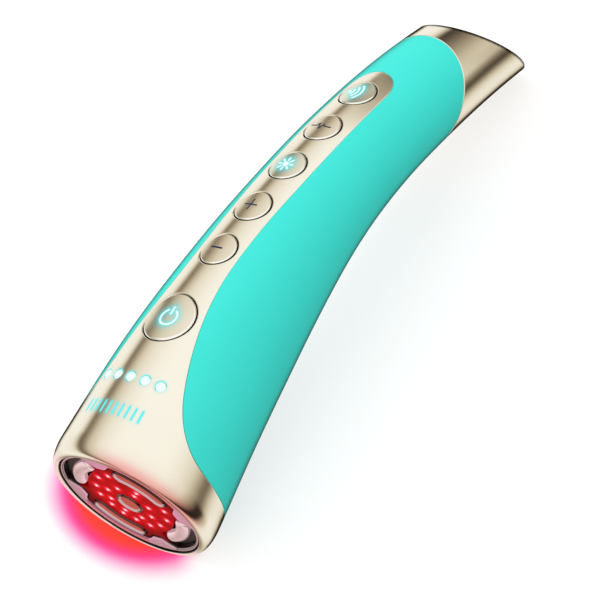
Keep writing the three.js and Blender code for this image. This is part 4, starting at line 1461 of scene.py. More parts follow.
    def centre(self) -> Shape:
        """The round electrode in the middle."""
        radius = self.centre_radius - self.centre_edge
        edge = Edge(circle(radius, 90), Lip(self.centre_edge, self.centre_edge, steps=3))
        top = self.tray(self.centre_depth, self.inside_centre)
        return Slab(top, (edge,), self.centre_thickness, Mesher(self.tray_step)).build()

    def inside_centre(self, flat: Array) -> Array:
        """How far points of the face's plane lie inside the middle electrode."""
        return self.centre_radius - np.linalg.norm(flat, axis=-1)

    def tray(self, depth: float, within: Rule) -> Surface:
        """A plane below the face that sinks further a little way inside an outline."""

        def point(flat: Array) -> Array:
            fall = self.tray_depth * smoothstep(within(flat), *self.tray_fall)
            return FACE.lift(flat, -depth - fall)

        return Surface(point)

    def lit_tray(self, within: Rule) -> Rule:
        """Gives a tray's floor the lamps' red, and its slope a pale light on one side."""
        step = face_point(0.1, self.arc_outline.degrees)

        def light(points: Array) -> Array:
            flat = FACE.local(points)[:, :2]
            facing = (within(flat + step) - within(flat - step)) / 0.2
            inward = within(flat)
            slope = smoothstep(inward, *self.slope_inward) * smoothstep(facing, *self.slope_facing)
            return np.maximum(self.slope_share * slope, smoothstep(inward, *self.floor_inward))

        return light

    def unlit(self, points: Array) -> Array:
        """The red that an electrode mirrors where no lamp lights it."""
        return np.full(len(points), self.unlit_share)

    def lens(self) -> Shape:
        """The red disc with openings for the electrodes."""
        grow = self.lens_gap + self.lens_edge
        lip = Lip(self.lens_edge, self.lens_edge, steps=2)
        lines = [self.contour(self.lens_radius, -self.lens_edge)]
        lines += [arc.outline(grow) for arc in self.arc_outline.pair()]
        lines.append(circle(self.centre_radius + grow, 72))
        edges = tuple(Edge(line, lip) for line in lines)
        top = level(FACE, self.lens_depth)
        return Slab(top, edges, self.lens_thickness, Mesher(OUTLINE_STEP)).build()

    def lens_dark(self, points: Array) -> Array:
        """Painted shade: a deeper red towards the lens's edge."""
        return self.lens_dark_share * smoothstep(FACE.radius(points), *self.lens_dark_radius)

    def build(self) -> None:
        """Makes and dresses the bezel, the electrodes, the lens and its lamps."""
        # The bezel's colour holds the lamps' painted light, and painted shade and dark reflection on its
        # wall, in stripes and beside the arcs.
        add_piece(
            "head_bezel", self.bezel(), Look.BEZEL, "champagne_metal", "bezel_ring",
            glow=self.bezel_light, dark=self.bezel_dark,
        )
        for fan, side in zip(self.pad_outline.pair(), ("left", "right")):
            terms = (Look.ELECTRODE, "electrode_metal", f"electrode_pad_{side}")
            add_piece(f"pad_{side}", self.pad(fan), *terms, glow=self.pad_light)
        for fan, side in zip(self.arc_outline.pair(), ("front", "back")):
            terms = (Look.LIT_ELECTRODE, "electrode_metal", f"electrode_arc_{side}")
            light = self.lit_tray(fan.inside)
            add_piece(f"arc_{side}", self.arc(fan), *terms, glow=light, dark=self.unlit)
        terms = (Look.LIT_ELECTRODE, "electrode_metal", "electrode_centre")
        light = self.lit_tray(self.inside_centre)
        add_piece("centre_electrode", self.centre(), *terms, glow=light, dark=self.unlit)
        halo = glow_from(self.glow_points, self.halo_reach, self.halo_share)
        terms = (Look.LENS, "red_lens", "lens")
        # The lens's colour holds the lamps' halo and painted shade towards its edge.
        add_piece("red_lens_disc", self.lens(), *terms, glow=halo, dark=self.lens_dark)
        frames = tuple(Frame(point, FACE.axes) for point in self.glow_points)
        size = (2 * self.lamp_radius, 2 * self.lamp_radius, 2 * self.lamp_rise)
        lamps = Repeated("lens_lamps", size, frames, Look.LENS_LIGHT, dome=True).build()
        settle(lamps, Look.LENS_LIGHT, "red_lens")


@dataclass(frozen=True)
class TailEnd:
    """The plate in the tail's mouth and the charging socket in it."""

    inset: float = 2.1
    plate_depth: float = 0.5
    plate_thickness: float = 1.6
    edge: float = 0.2
    gap: float = 0.3
    socket_rise: float = 9.0
    socket_width: float = 8.9
    socket_height: float = 3.2
    socket_wall: float = 0.35
    socket_edge: float = 0.08
    socket_round: float = 1.5
    socket_length: float = 7.3
    floor_inset: float = 0.25
    tongue_width: float = 6.0
    tongue_thickness: float = 0.7
    tongue_round: float = 0.2
    board_thickness: float = 1.0
    shelf_width: float = 13.0
    shelf_thickness: float = 1.4
    shelf_length: float = 10.6
    shelf_round: float = 0.3

    def plate(self) -> Shape:
        """The plate with the socket's opening, and the shelf behind it."""
        mouth = SKINS.end_frame
        angle = np.linspace(-math.pi, math.pi, 161)[:-1]
        rim = mouth.local(SKINS.end_points(angle, self.inset + self.edge))[:, :2]
        hole = self.socket_line(-self.gap - self.edge) - [0, self.socket_rise]
        lip = Lip(self.edge, self.edge)
        top = level(mouth, self.plate_depth)
        mesher = Mesher(0.8)
        shape = Slab(top, (Edge(rim, lip), Edge(hole, lip)), self.plate_thickness, mesher).build()
        height = (self.socket_height + self.shelf_thickness) / 2 - self.socket_rise
        height += 2 * self.gap + self.board_thickness
        shelf = Line.slot(self.shelf_width, self.shelf_thickness, self.shelf_round) + [0, height]
        behind = level(mouth, self.plate_depth + self.plate_thickness)
        edge = Edge(shelf, Lip(0.1, 0.1, steps=1))
        return Slab(behind, (edge,), self.shelf_length - self.plate_thickness, Mesher(1.0)).build(shape)

    def socket_line(self, inset: float) -> Array:
        """The socket's outline about its middle, moved in by an inset."""
        wide, high = self.socket_width - 2 * inset, self.socket_height - 2 * inset
        return Line.slot(wide, high, self.socket_round - inset)

    def socket(self) -> Shape:
        """The socket's shell, its back and its tongue."""
        place = SKINS.end_frame.moved(0, -self.socket_rise, 0)
        lip = Lip(self.socket_edge, self.socket_edge, steps=2)
        wide = self.socket_width - 2 * self.socket_edge
        high = self.socket_height - 2 * self.socket_edge
        outer = Edge(Line.slot(wide, high, self.socket_round), lip)
        inner = Edge(self.socket_line(self.socket_wall - self.socket_edge), lip)
        mesher = Mesher(0.5)
        top = level(place, self.plate_depth)
        shape = Slab(top, (outer, inner), self.socket_length, mesher).build()
        back = level(place, self.plate_depth + self.socket_length - self.socket_wall)
        floor = Edge(self.socket_line(self.floor_inset), lip)
        Slab(back, (floor,), self.socket_wall, mesher).build(shape)
        tongue = Edge(Line.slot(self.tongue_width, self.tongue_thickness, self.tongue_round), lip)
        tip = level(place, self.plate_depth + self.socket_wall)
        return Slab(tip, (tongue,), self.socket_length - 2 * self.socket_wall, Mesher(0.4)).build(shape)

    def build(self) -> None:
        """Makes and dresses the plate and the socket."""
        add_piece("tail_cover", self.plate(), Look.BLACK_PLASTIC, "chassis_plastic", "tail_plate")
        add_piece("charging_socket", self.socket(), Look.STEEL, "contact_brass", "charge_socket")


@dataclass(frozen=True)
class Caps:
    """The button caps, their symbols, and the clear lamps and bars of the strip."""

    inlay_rise: float = 0.015
    inlay_depth: float = 0.15
    inlay_lip: Lip = Lip(0.03, 0.02, steps=1)
    rim_points: int = 88
    cap_step: float = 0.42
    guide_depth: float = 4.2
    guide_step: float = 0.5
    symbol_reach: float = 0.65
    symbol_halo: float = 0.27
    bright_middle: Triple = (0.12, -0.15, 0.0)
    bright_reach: float = 1.5

    def top(self, key: Key, rise: float = 0.0) -> Surface:
        """The dished top of a cap: the skin, lowered in the cap's middle."""
        skin = FORM.skin

        def point(flat: Array) -> Array:
            at = skin.point(flat)
            away = (key.place.local(at)[..., :2] ** 2).sum(-1) / key.radius**2
            height = CONTROLS.cap_rise + rise - key.dish * np.clip(1 - away, 0, 1)
            return at + height[..., None] * key.place.axes[:, 2]

        return Surface(point)

    def cap(self, key: Key) -> Shape:
        """The cap of a button."""
        edge = CONTROLS.cap_edge_share * key.radius
        line = CONTROLS.round_line(key.place, key.radius - edge, self.rim_points)
        rim = Edge(line, Lip(edge, edge))
        return Slab(self.top(key), (rim,), CONTROLS.cap_thickness, Mesher(self.cap_step)).build()

    def lip_highlight(self, key: Key) -> Rule:
        """Painted highlight on a cap's rounded edge: gives its points 1 and the rest of the top 0."""
        start = key.radius * (1 - CONTROLS.cap_edge_share)
        return lambda points: smoothstep(key.place.radius(points), start, start + 0.1)

    def laid(self, key: Key, marks: Array) -> Array:
        """Lays points of a symbol onto the skin's flat domain."""
        place = key.place.moved(*key.mark_shift)
        return FORM.find(place, marks, np.array([0.0, key.station]) + marks)

    def symbol(self, key: Key) -> Shape:
        """The symbol let into a cap."""
        shape = Shape()
        top = self.top(key, self.inlay_rise)
        for outline in key.symbol.value.outlines():
            edge = Edge(self.laid(key, outline), self.inlay_lip)
            Slab(top, (edge,), self.inlay_depth, Mesher(OUTLINE_STEP)).build(shape)
        return shape

    def symbol_points(self, key: Key) -> Array:
        """Points along a symbol's marks, in the device's frame."""
        return self.top(key).point(self.laid(key, key.symbol.value.spine()))

    def light_guide(self) -> Shape:
        """The clear piece whose round ends lie flush in the strip."""
        shape = Shape()
        edge = CONTROLS.lamp_edge
        for place in CONTROLS.lamp_frames:
            line = CONTROLS.round_line(place, CONTROLS.lamp_radius - edge, CONTROLS.lamp_points)
            rim = Edge(line, Lip(edge, edge))
            Slab(FORM.skin, (rim,), self.guide_depth, Mesher(self.guide_step)).build(shape)
        return shape

    def build(self) -> None:
        """Makes and dresses the caps with their symbols, the lamps and the row of lit bars."""
        for key in CONTROLS.keys:
            marks = self.symbol_points(key)
            glow = glow_from(marks, self.symbol_reach, self.symbol_halo) if key.lit else None
            terms = (Look.GOLD_CAP, "champagne_metal", f"button_{key.name}")
            # A painted highlight on the cap's rounded edge, and the lamps' glow round lit symbols.
            shares = {"glow": glow, "warm": self.lip_highlight(key)}
            add_piece(f"cap_{key.name}", self.cap(key), *terms, body=key.body, **shares)
            terms = (Look.SYMBOL_LIGHT if key.lit else Look.PRINT, "clear_plastic")
            glow = glow_from(marks, 1.0)
            add_piece(f"symbol_{key.name}", self.symbol(key), *terms, body=key.body, glow=glow)
        # The bright middles sit a little off the lamps' middles, so each lamp's cyan edge is wider on one
        # side: painted shade of the recess round it.
        middles = [place.out(np.array(self.bright_middle)) for place in CONTROLS.lamp_frames]
        glow = glow_from(np.array(middles), self.bright_reach)
        terms = (Look.SYMBOL_LIGHT, "clear_plastic", "indicator_light_guide")
        add_piece("strip_lamps", self.light_guide(), *terms, glow=glow)
        size = (CONTROLS.bar_width, CONTROLS.bar_height, CONTROLS.bar_thickness)
        frames = tuple(CONTROLS.bar_frames)
        bars = Repeated("strip_bars", size, frames, Look.SYMBOL_LIGHT, dome=False).build()
        settle(bars, Look.SYMBOL_LIGHT, "clear_plastic")


class Tree:
    """A node tree under construction, with short calls for its nodes and links."""

    def __init__(self, tree: bpy.types.NodeTree) -> None:
        """Keeps the tree that the nodes go into."""
        self.tree = tree

    def node(self, kind: str, **values: object) -> Node:
        """Adds a node and sets its properties by name."""
        made = self.tree.nodes.new(kind)
        for name, value in values.items():
            setattr(made, name, value)
        return made

    def put(self, socket: Socket, term: object) -> None:
        """Links a socket to another one, or gives it a plain value."""
        if isinstance(term, Socket):
            self.tree.links.new(term, socket)
        else:
            socket.default_value = term

    def fill(self, node: Node, **terms: object) -> None:
        """Fills a node's inputs, named with an underscore for each space."""
        for name, term in terms.items():
            self.put(node.inputs[name.replace("_", " ")], term)

    def math(self, kind: str, *terms: Socket | float) -> Socket:
        """Adds a Math node on sockets or numbers and returns its result."""
        made = self.node("ShaderNodeMath", operation=kind)
        for socket, term in zip(made.inputs, terms):
            self.put(socket, term)
        return made.outputs[0]

    def ramp(self, value: Socket, low: float, high: float, first: float = 0.0, last: float = 1.0) -> Socket:
        """Maps a value smoothly from low and high to first and last."""
        made = self.node("ShaderNodeMapRange", interpolation_type="SMOOTHSTEP")
        self.fill(made, Value=value, From_Min=low, From_Max=high, To_Min=first, To_Max=last)
        return made.outputs["Result"]

    def mix(self, share: Socket | float, first: Socket | Colour, second: Socket | Colour) -> Socket:
        """Mixes two colours and returns the result."""
        made = self.node("ShaderNodeMix", data_type="RGBA")
        for socket, term in ((made.inputs[0], share), (made.inputs[6], first), (made.inputs[7], second)):
            self.put(socket, term)
        return made.outputs[2]

    def attribute(self, name: str) -> Socket:
        """Reads one of the piece's attributes."""
        return self.node("ShaderNodeAttribute", attribute_name=name).outputs["Fac"]

    def seen(self) -> Socket:
        """Tells the camera's rays, also through clear pieces, from all others."""
        path = self.node("ShaderNodeLightPath")
        return self.math("MAXIMUM", path.outputs["Is Camera Ray"], path.outputs["Is Transmission Ray"])


def start_material(name: str, tone: Colour) -> tuple[bpy.types.Material, Tree, Node]:
    """Starts a material and returns it with its tree and its shader."""
    material = bpy.data.materials.new(name)
    material.use_nodes = True
    material.diffuse_color = tone
    return material, Tree(material.node_tree), material.node_tree.nodes["Principled BSDF"]


def colour(red: int, green: int, blue: int) -> Colour:
    """Turns a display colour of 0 to 255 into a linear one."""

    def linear(value: int) -> float:
        share = value / 255
        return share / 12.92 if share <= 0.04045 else ((share + 0.055) / 1.055) ** 2.4

    return (linear(red), linear(green), linear(blue), 1.0)


def start_group(
    name: str, kind: str, inputs: Names, outputs: Names
) -> tuple[Tree, Sockets, Node]:
    """Starts a node group.

    Args:
        name: Its name.
        kind: Shader or Geometry.
        inputs: Types of its inputs by name.
        outputs: Types of its outputs by name.

    Returns:
        Its tree, its inputs and the node for its outputs.
    """
    group = bpy.data.node_groups.new(name, f"{kind}NodeTree")
    for way, sockets in (("INPUT", inputs), ("OUTPUT", outputs)):
        for title, sort in sockets.items():
            group.interface.new_socket(title, in_out=way, socket_type=f"NodeSocket{sort}")
    tree = Tree(group)
    return tree, tree.node("NodeGroupInput").outputs, tree.node("NodeGroupOutput")


def grain_group() -> bpy.types.NodeTree:
    """A shared effect: fine grain that varies roughness, height and tone."""
    inputs = {"Coordinates": "Vector", "Stretch": "Vector"}
    inputs |= {"Scale": "Float", "Low": "Float", "High": "Float"}
    outputs = {"Roughness": "Float", "Height": "Float", "Tone": "Float"}
    tree, given, result = start_group("surface_grain", "Shader", inputs, outputs)
    stretched = tree.node("ShaderNodeVectorMath", operation="MULTIPLY")
    tree.put(stretched.inputs[0], given["Coordinates"])
    tree.put(stretched.inputs[1], given["Stretch"])
    fine = tree.node("ShaderNodeTexNoise")
    tree.fill(fine, Vector=stretched.outputs[0], Scale=given["Scale"], Detail=3.0)
    broad = tree.node("ShaderNodeTexNoise")
    tree.fill(broad, Vector=given["Coordinates"], Scale=60.0, Detail=2.0)
    spread = tree.node("ShaderNodeMapRange")
    tree.fill(spread, Value=fine.outputs[0], To_Min=given["Low"], To_Max=given["High"])
    tree.fill(result, Roughness=spread.outputs[0], Height=fine.outputs[0], Tone=broad.outputs[0])
    return tree.tree


GRAIN = grain_group()
BLACK = (0.0, 0.0, 0.0, 1.0)
WHITE = (1.0, 1.0, 1.0, 1.0)


@dataclass(frozen=True)
class Finish:
    """A finish with fine grain, and with light and shade painted on it where the piece says so.

    Attributes:
        name: Name of the material.
        base: Main colour.
        shade: Colour of the grain's darker patches.
        low: Roughness where the grain is smoothest.
        high: Roughness where it is coarsest.
        metallic: 1 for metal, 0 for the rest.
        scale: Scale of the grain.
        stretch: How the grain is drawn out along x, y and z.
        bump: Height of the grain, in metres.
        specular: Level of plain gloss.
        rim: Painted shade, the colour where the surface turns away from the eye.
        rim_from: Share of turning away at which that painted shade starts.
        dark: Painted shade and painted dark reflection: in gaps, on walls, towards edges and where no lamp
            lights it.
        warm: Painted light: the lens's red light beside the lens, or a painted highlight on a cap's rounded
            edge.
        lit: Colour of the lens's light on a rim.
        light: Colour of the lamps' light on it.
        core: Colour of that light where it is strongest.
    """

    name: str
    base: Colour
    shade: Colour
    low: float
    high: float
    metallic: float = 0.0
    scale: float = 900.0
    stretch: Triple = (1.0, 1.0, 1.0)
    bump: float = 0.00001
    specular: float = 0.5
    rim: Colour | None = None
    rim_from: float = 0.78
    dark: Colour | None = None
    warm: Colour | None = None
    lit: Colour | None = None
    light: Colour | None = None
    core: Colour | None = None

    @cached_property
    def material(self) -> bpy.types.Material:
        """The material, built on its first use."""
        material, tree, shader = start_material(self.name, self.base)
        grain = tree.node("ShaderNodeGroup", node_tree=GRAIN)
        place = tree.node("ShaderNodeTexCoord").outputs["Object"]
        tree.fill(grain, Coordinates=place, Scale=self.scale, Stretch=self.stretch)
        tree.fill(grain, Low=self.low, High=self.high)
        bump = tree.node("ShaderNodeBump")
        tree.fill(bump, Distance=self.bump, Height=grain.outputs["Height"])
        tree.fill(shader, Metallic=self.metallic, Specular_IOR_Level=self.specular)
        tree.fill(shader, Roughness=grain.outputs["Roughness"], Normal=bump.outputs["Normal"])
        base = tree.mix(grain.outputs["Tone"], self.base, self.shade)
        # Painted shade where the surface turns away from the eye.
        if self.rim:
            turned = tree.ramp(tree.node("ShaderNodeLayerWeight").outputs["Facing"], self.rim_from, 0.96)
            base = tree.mix(tree.math("POWER", turned, 1.6), base, self.rim)
        # Painted shade and painted light, where the piece's attributes say so.
        for name, painted_colour in (("dark", self.dark), ("warm", self.warm)):
            if painted_colour:
                base = tree.mix(tree.attribute(name), base, painted_colour)
        if self.light and self.core:
            base = self.shine(tree, shader, base)
        tree.fill(shader, Base_Color=base)
        return material

    def shine(self, tree: Tree, shader: Node, base: Socket) -> Socket:
        """Adds the lamps' light as emission, and returns the base colour with black in its place."""
        glow = tree.attribute("glow")
        base = tree.mix(glow, base, BLACK)
        shine = tree.mix(glow, BLACK, tree.mix(tree.ramp(glow, 0.6, 1.0), self.light, self.core))
        if self.lit:
            lit = tree.attribute("lit")
            base = tree.mix(lit, base, BLACK)
            shine = tree.mix(lit, shine, self.lit)
        tree.fill(shader, Emission_Color=shine, Emission_Strength=1.0)
        return base


@dataclass(frozen=True)
class Lamp:
    """A finish that shines, brighter where the piece's glow attribute is high.

    Attributes:
        name: Name of the material.
        tone: Colour of the light in the middle.
        rim: Colour at the edge.
        strength: How bright it is, where 1 is white.
    """

    name: str
    tone: Colour
    rim: Colour
    strength: float = 1.0

    @cached_property
    def material(self) -> bpy.types.Material:
        """The material, built on its first use."""
        material, tree, shader = start_material(self.name, self.tone)
        noise = tree.node("ShaderNodeTexNoise")
        tree.fill(noise, Vector=tree.node("ShaderNodeTexCoord").outputs["Object"], Scale=900.0)
        uneven = tree.math("MULTIPLY", noise.outputs[0], 0.1)
        share = tree.ramp(tree.math("ADD", tree.attribute("glow"), uneven), 0.38, 0.62)
        tree.fill(shader, Roughness=0.3, Base_Color=(0.05, 0.05, 0.05, 1), Emission_Strength=self.strength)
        tree.fill(shader, Emission_Color=tree.mix(share, self.rim, self.tone))
        return material


POLISHED = 0.000002
CYAN = colour(60, 235, 240)
CYAN_CORE = colour(190, 255, 255)


class Look(Enum):
    """Every finish of the device."""

    # The shell's metal: painted shade at its silhouette and in its gaps, the lens's painted red and pale
    # light, and the lamps' glow.
    GOLD = Finish(
        "champagne_gold", colour(251, 246, 232), colour(248, 241, 224), 0.1, 0.16, 1.0,
        scale=300, stretch=(0.25, 8.0, 0.25), bump=POLISHED,
        rim=colour(44, 36, 28), dark=colour(34, 26, 20), warm=colour(236, 72, 92),
        lit=colour(250, 216, 212), light=CYAN, core=CYAN_CORE,
    )
    # The caps' metal, a touch darker and rougher than the shell's, with a painted highlight on their rounded
    # edges and the lamps' glow round lit symbols.
    GOLD_CAP = Finish(
        "champagne_gold_caps", colour(247, 239, 222), colour(240, 230, 210), 0.12, 0.2, 1.0,
        scale=500, stretch=(0.5, 5.0, 0.5), bump=POLISHED,
        warm=colour(255, 255, 252), light=CYAN, core=CYAN_CORE,
    )
    # Its rose colour is the champagne metal with the lamps' red light painted in; shade and dark reflection
    # are painted on its wall and in stripes.
    BEZEL = Finish(
        "rose_lit_bezel", colour(242, 222, 224), colour(236, 212, 216), 0.08, 0.14, 0.8,
        scale=400, bump=POLISHED,
        dark=colour(40, 18, 18), light=colour(240, 140, 190), core=colour(214, 108, 84),
    )
    ELECTRODE = Finish(
        "polished_electrode", colour(246, 226, 226), colour(240, 216, 218), 0.06, 0.12, 0.85,
        scale=400, bump=POLISHED, light=colour(255, 204, 218), core=colour(255, 176, 204),
    )
    LIT_ELECTRODE = Finish(
        "red_lit_electrode", colour(246, 222, 218), colour(240, 212, 210), 0.08, 0.14, 0.85,
        scale=400, bump=POLISHED,
        dark=colour(70, 18, 16), light=colour(255, 220, 222), core=colour(180, 66, 56),
    )
    # Painted shade where the grip turns away from the eye.
    SOFT = Finish(
        "turquoise_soft_skin", colour(70, 236, 223), colour(66, 231, 218), 0.55, 0.68,
        scale=2600, specular=0.12, rim=colour(26, 110, 104), rim_from=0.62,
    )
    LENS = Finish(
        "red_lens", colour(206, 3, 16), colour(178, 2, 12), 0.12, 0.18,
        scale=500, bump=POLISHED, specular=0.01,
        dark=colour(104, 3, 10), light=colour(255, 14, 34), core=colour(255, 140, 162),
    )
    SYMBOL_LIGHT = Lamp("symbol_light", colour(232, 255, 255), colour(70, 236, 238))
    LENS_LIGHT = Lamp("lens_light", colour(255, 225, 230), colour(255, 170, 180), strength=1.6)
    PRINT = Finish(
        "dark_blue_print", colour(14, 54, 84), colour(10, 44, 70), 0.35, 0.45, specular=0.15
    )
    # Dark plastic with the lamps' red light painted into its colour.
    CARRIER = Finish("red_lit_dark_plastic", colour(62, 44, 42), colour(54, 37, 36), 0.4, 0.5)
    BLACK_PLASTIC = Finish("black_moulded_plastic", colour(34, 32, 34), colour(26, 25, 27), 0.4, 0.55)
    GREY_PLASTIC = Finish("grey_moulded_plastic", colour(139, 143, 148), colour(128, 132, 138), 0.45, 0.6)
    BOARD = Finish("green_board", colour(31, 90, 60), colour(24, 76, 50), 0.35, 0.5)
    CHIP = Finish("chip_plastic", colour(38, 38, 40), colour(30, 30, 32), 0.5, 0.7)
    FILM = Finish("orange_film", colour(201, 138, 58), colour(186, 122, 46), 0.3, 0.4)
    CELL = Finish("blue_cell_wrap", colour(43, 95, 168), colour(36, 84, 152), 0.3, 0.45)
    WIRE = Finish("red_wire", colour(181, 34, 34), colour(165, 28, 28), 0.45, 0.6)
    RUBBER = Finish("black_rubber", colour(30, 30, 31), colour(22, 22, 23), 0.7, 0.85)
    STEEL = Finish("screw_steel", colour(190, 190, 192), colour(175, 175, 178), 0.25, 0.4, 1.0)
    SINK = Finish("heat_sink_metal", colour(205, 206, 208), colour(190, 191, 194), 0.35, 0.5, 1.0)
    COPPER = Finish("copper_winding", colour(190, 115, 75), colour(170, 98, 62), 0.3, 0.45, 1.0)


INNER_LOOKS: dict[Look, tuple[str, ...]] = {
    Look.BLACK_PLASTIC: ("front_chassis", "rear_chassis"),
    Look.CARRIER: ("electrode_carrier",),
    Look.RUBBER: ("head_gasket", "battery_lead_negative"),
    Look.STEEL: ("chassis_screw", "board_screw", "contact_pin", "switch_"),
    Look.SINK: ("heat_sink",),
    Look.GREY_PLASTIC: ("plunger_", "battery_cradle"),
    Look.CELL: ("battery_cell",),
    Look.WIRE: ("battery_lead_positive", "charge_cable"),
    Look.FILM: ("head_flex_cable",),
    Look.CHIP: ("controller_chip",),
    Look.COPPER: ("output_transformer",),
    Look.BOARD: ("led_board", "button_board", "main_board", "charge_board"),
}


def dress_inside() -> None:
    """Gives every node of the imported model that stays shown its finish."""
    for name, node in frame["nodes"].items():
        if node.hide_render:
            continue
        look = next(look for look, starts in INNER_LOOKS.items() if name.startswith(starts))
        node.data.materials.clear()
        node.data.materials.append(look.value.material)
        LOG.info("%s: %s", name, look.value.name)


@dataclass(frozen=True)
class Repeated:
    """Copies of a small form on the points of a mesh, made with Geometry Nodes.

    Attributes:
        name: Name of the piece.
        size: Width, length and height of the form, in millimetres.
        frames: Where the copies stand; z is up and y is the form's length.
        look: Finish of the copies.
        dome: True for a dome, false for a bar with flat sides.
    """

    name: str
    size: Triple
    frames: tuple[Frame, ...]
    look: Look
    dome: bool

    def tree(self) -> bpy.types.NodeTree:
        """Builds the tree: a form on each point, turned as the point's attribute says."""
        inputs = {"Geometry": "Geometry", "Size": "Vector", "Finish": "Material"}
        outputs = {"Geometry": "Geometry"}
        tree, given, result = start_group(f"{self.name}_tree", "Geometry", inputs, outputs)
        if self.dome:
            form = tree.node("GeometryNodeMeshUVSphere")
            tree.fill(form, Segments=20, Rings=12, Radius=0.5)
        else:
            form = tree.node("GeometryNodeMeshCube")
        turn = tree.node("GeometryNodeInputNamedAttribute", data_type="FLOAT_VECTOR")
        tree.fill(turn, Name="turn")
        copies = tree.node("GeometryNodeInstanceOnPoints")
        tree.fill(copies, Points=given["Geometry"], Instance=form.outputs["Mesh"])
        tree.fill(copies, Rotation=turn.outputs["Attribute"], Scale=given["Size"])
        real = tree.node("GeometryNodeRealizeInstances")
        tree.fill(real, Geometry=copies.outputs["Instances"])
        dressed = tree.node("GeometryNodeSetMaterial")
        tree.fill(dressed, Geometry=real.outputs["Geometry"], Material=given["Finish"])
        tree.fill(result, Geometry=dressed.outputs["Geometry"])
        return tree.tree

    def build(self) -> bpy.types.Object:
        """Makes the copies as one plain mesh."""
        places = PLACING.points(np.array([place.origin for place in self.frames]))
        mesh = bpy.data.meshes.new(f"{self.name}_points")
        mesh.from_pydata(places.tolist(), [], [])
        turns = [
            Matrix(PLACING.directions(place.axes.T).T.tolist()).to_euler("XYZ")
            for place in self.frames
        ]
        attribute = mesh.attributes.new("turn", "FLOAT_VECTOR", "POINT")
        attribute.data.foreach_set("vector", np.array(turns, np.float32).ravel())
        maker = linked(f"{self.name}_maker", mesh)
        modifier = maker.modifiers.new("copies", "NODES")
        modifier.node_group = self.tree()
        inputs = {"Size": [length * MM for length in self.size], "Finish": self.look.value.material}
        for item in modifier.node_group.interface.items_tree:
            if item.in_out == "INPUT" and item.name in inputs:
                modifier[item.identifier] = inputs[item.name]
        ready = maker.evaluated_get(bpy.context.evaluated_depsgraph_get())
        made = bpy.data.meshes.new_from_object(ready)
        maker.modifiers.remove(modifier)
        bpy.data.objects.remove(maker)
        made.name = self.name
        made.shade_smooth()
        return linked(self.name, made)


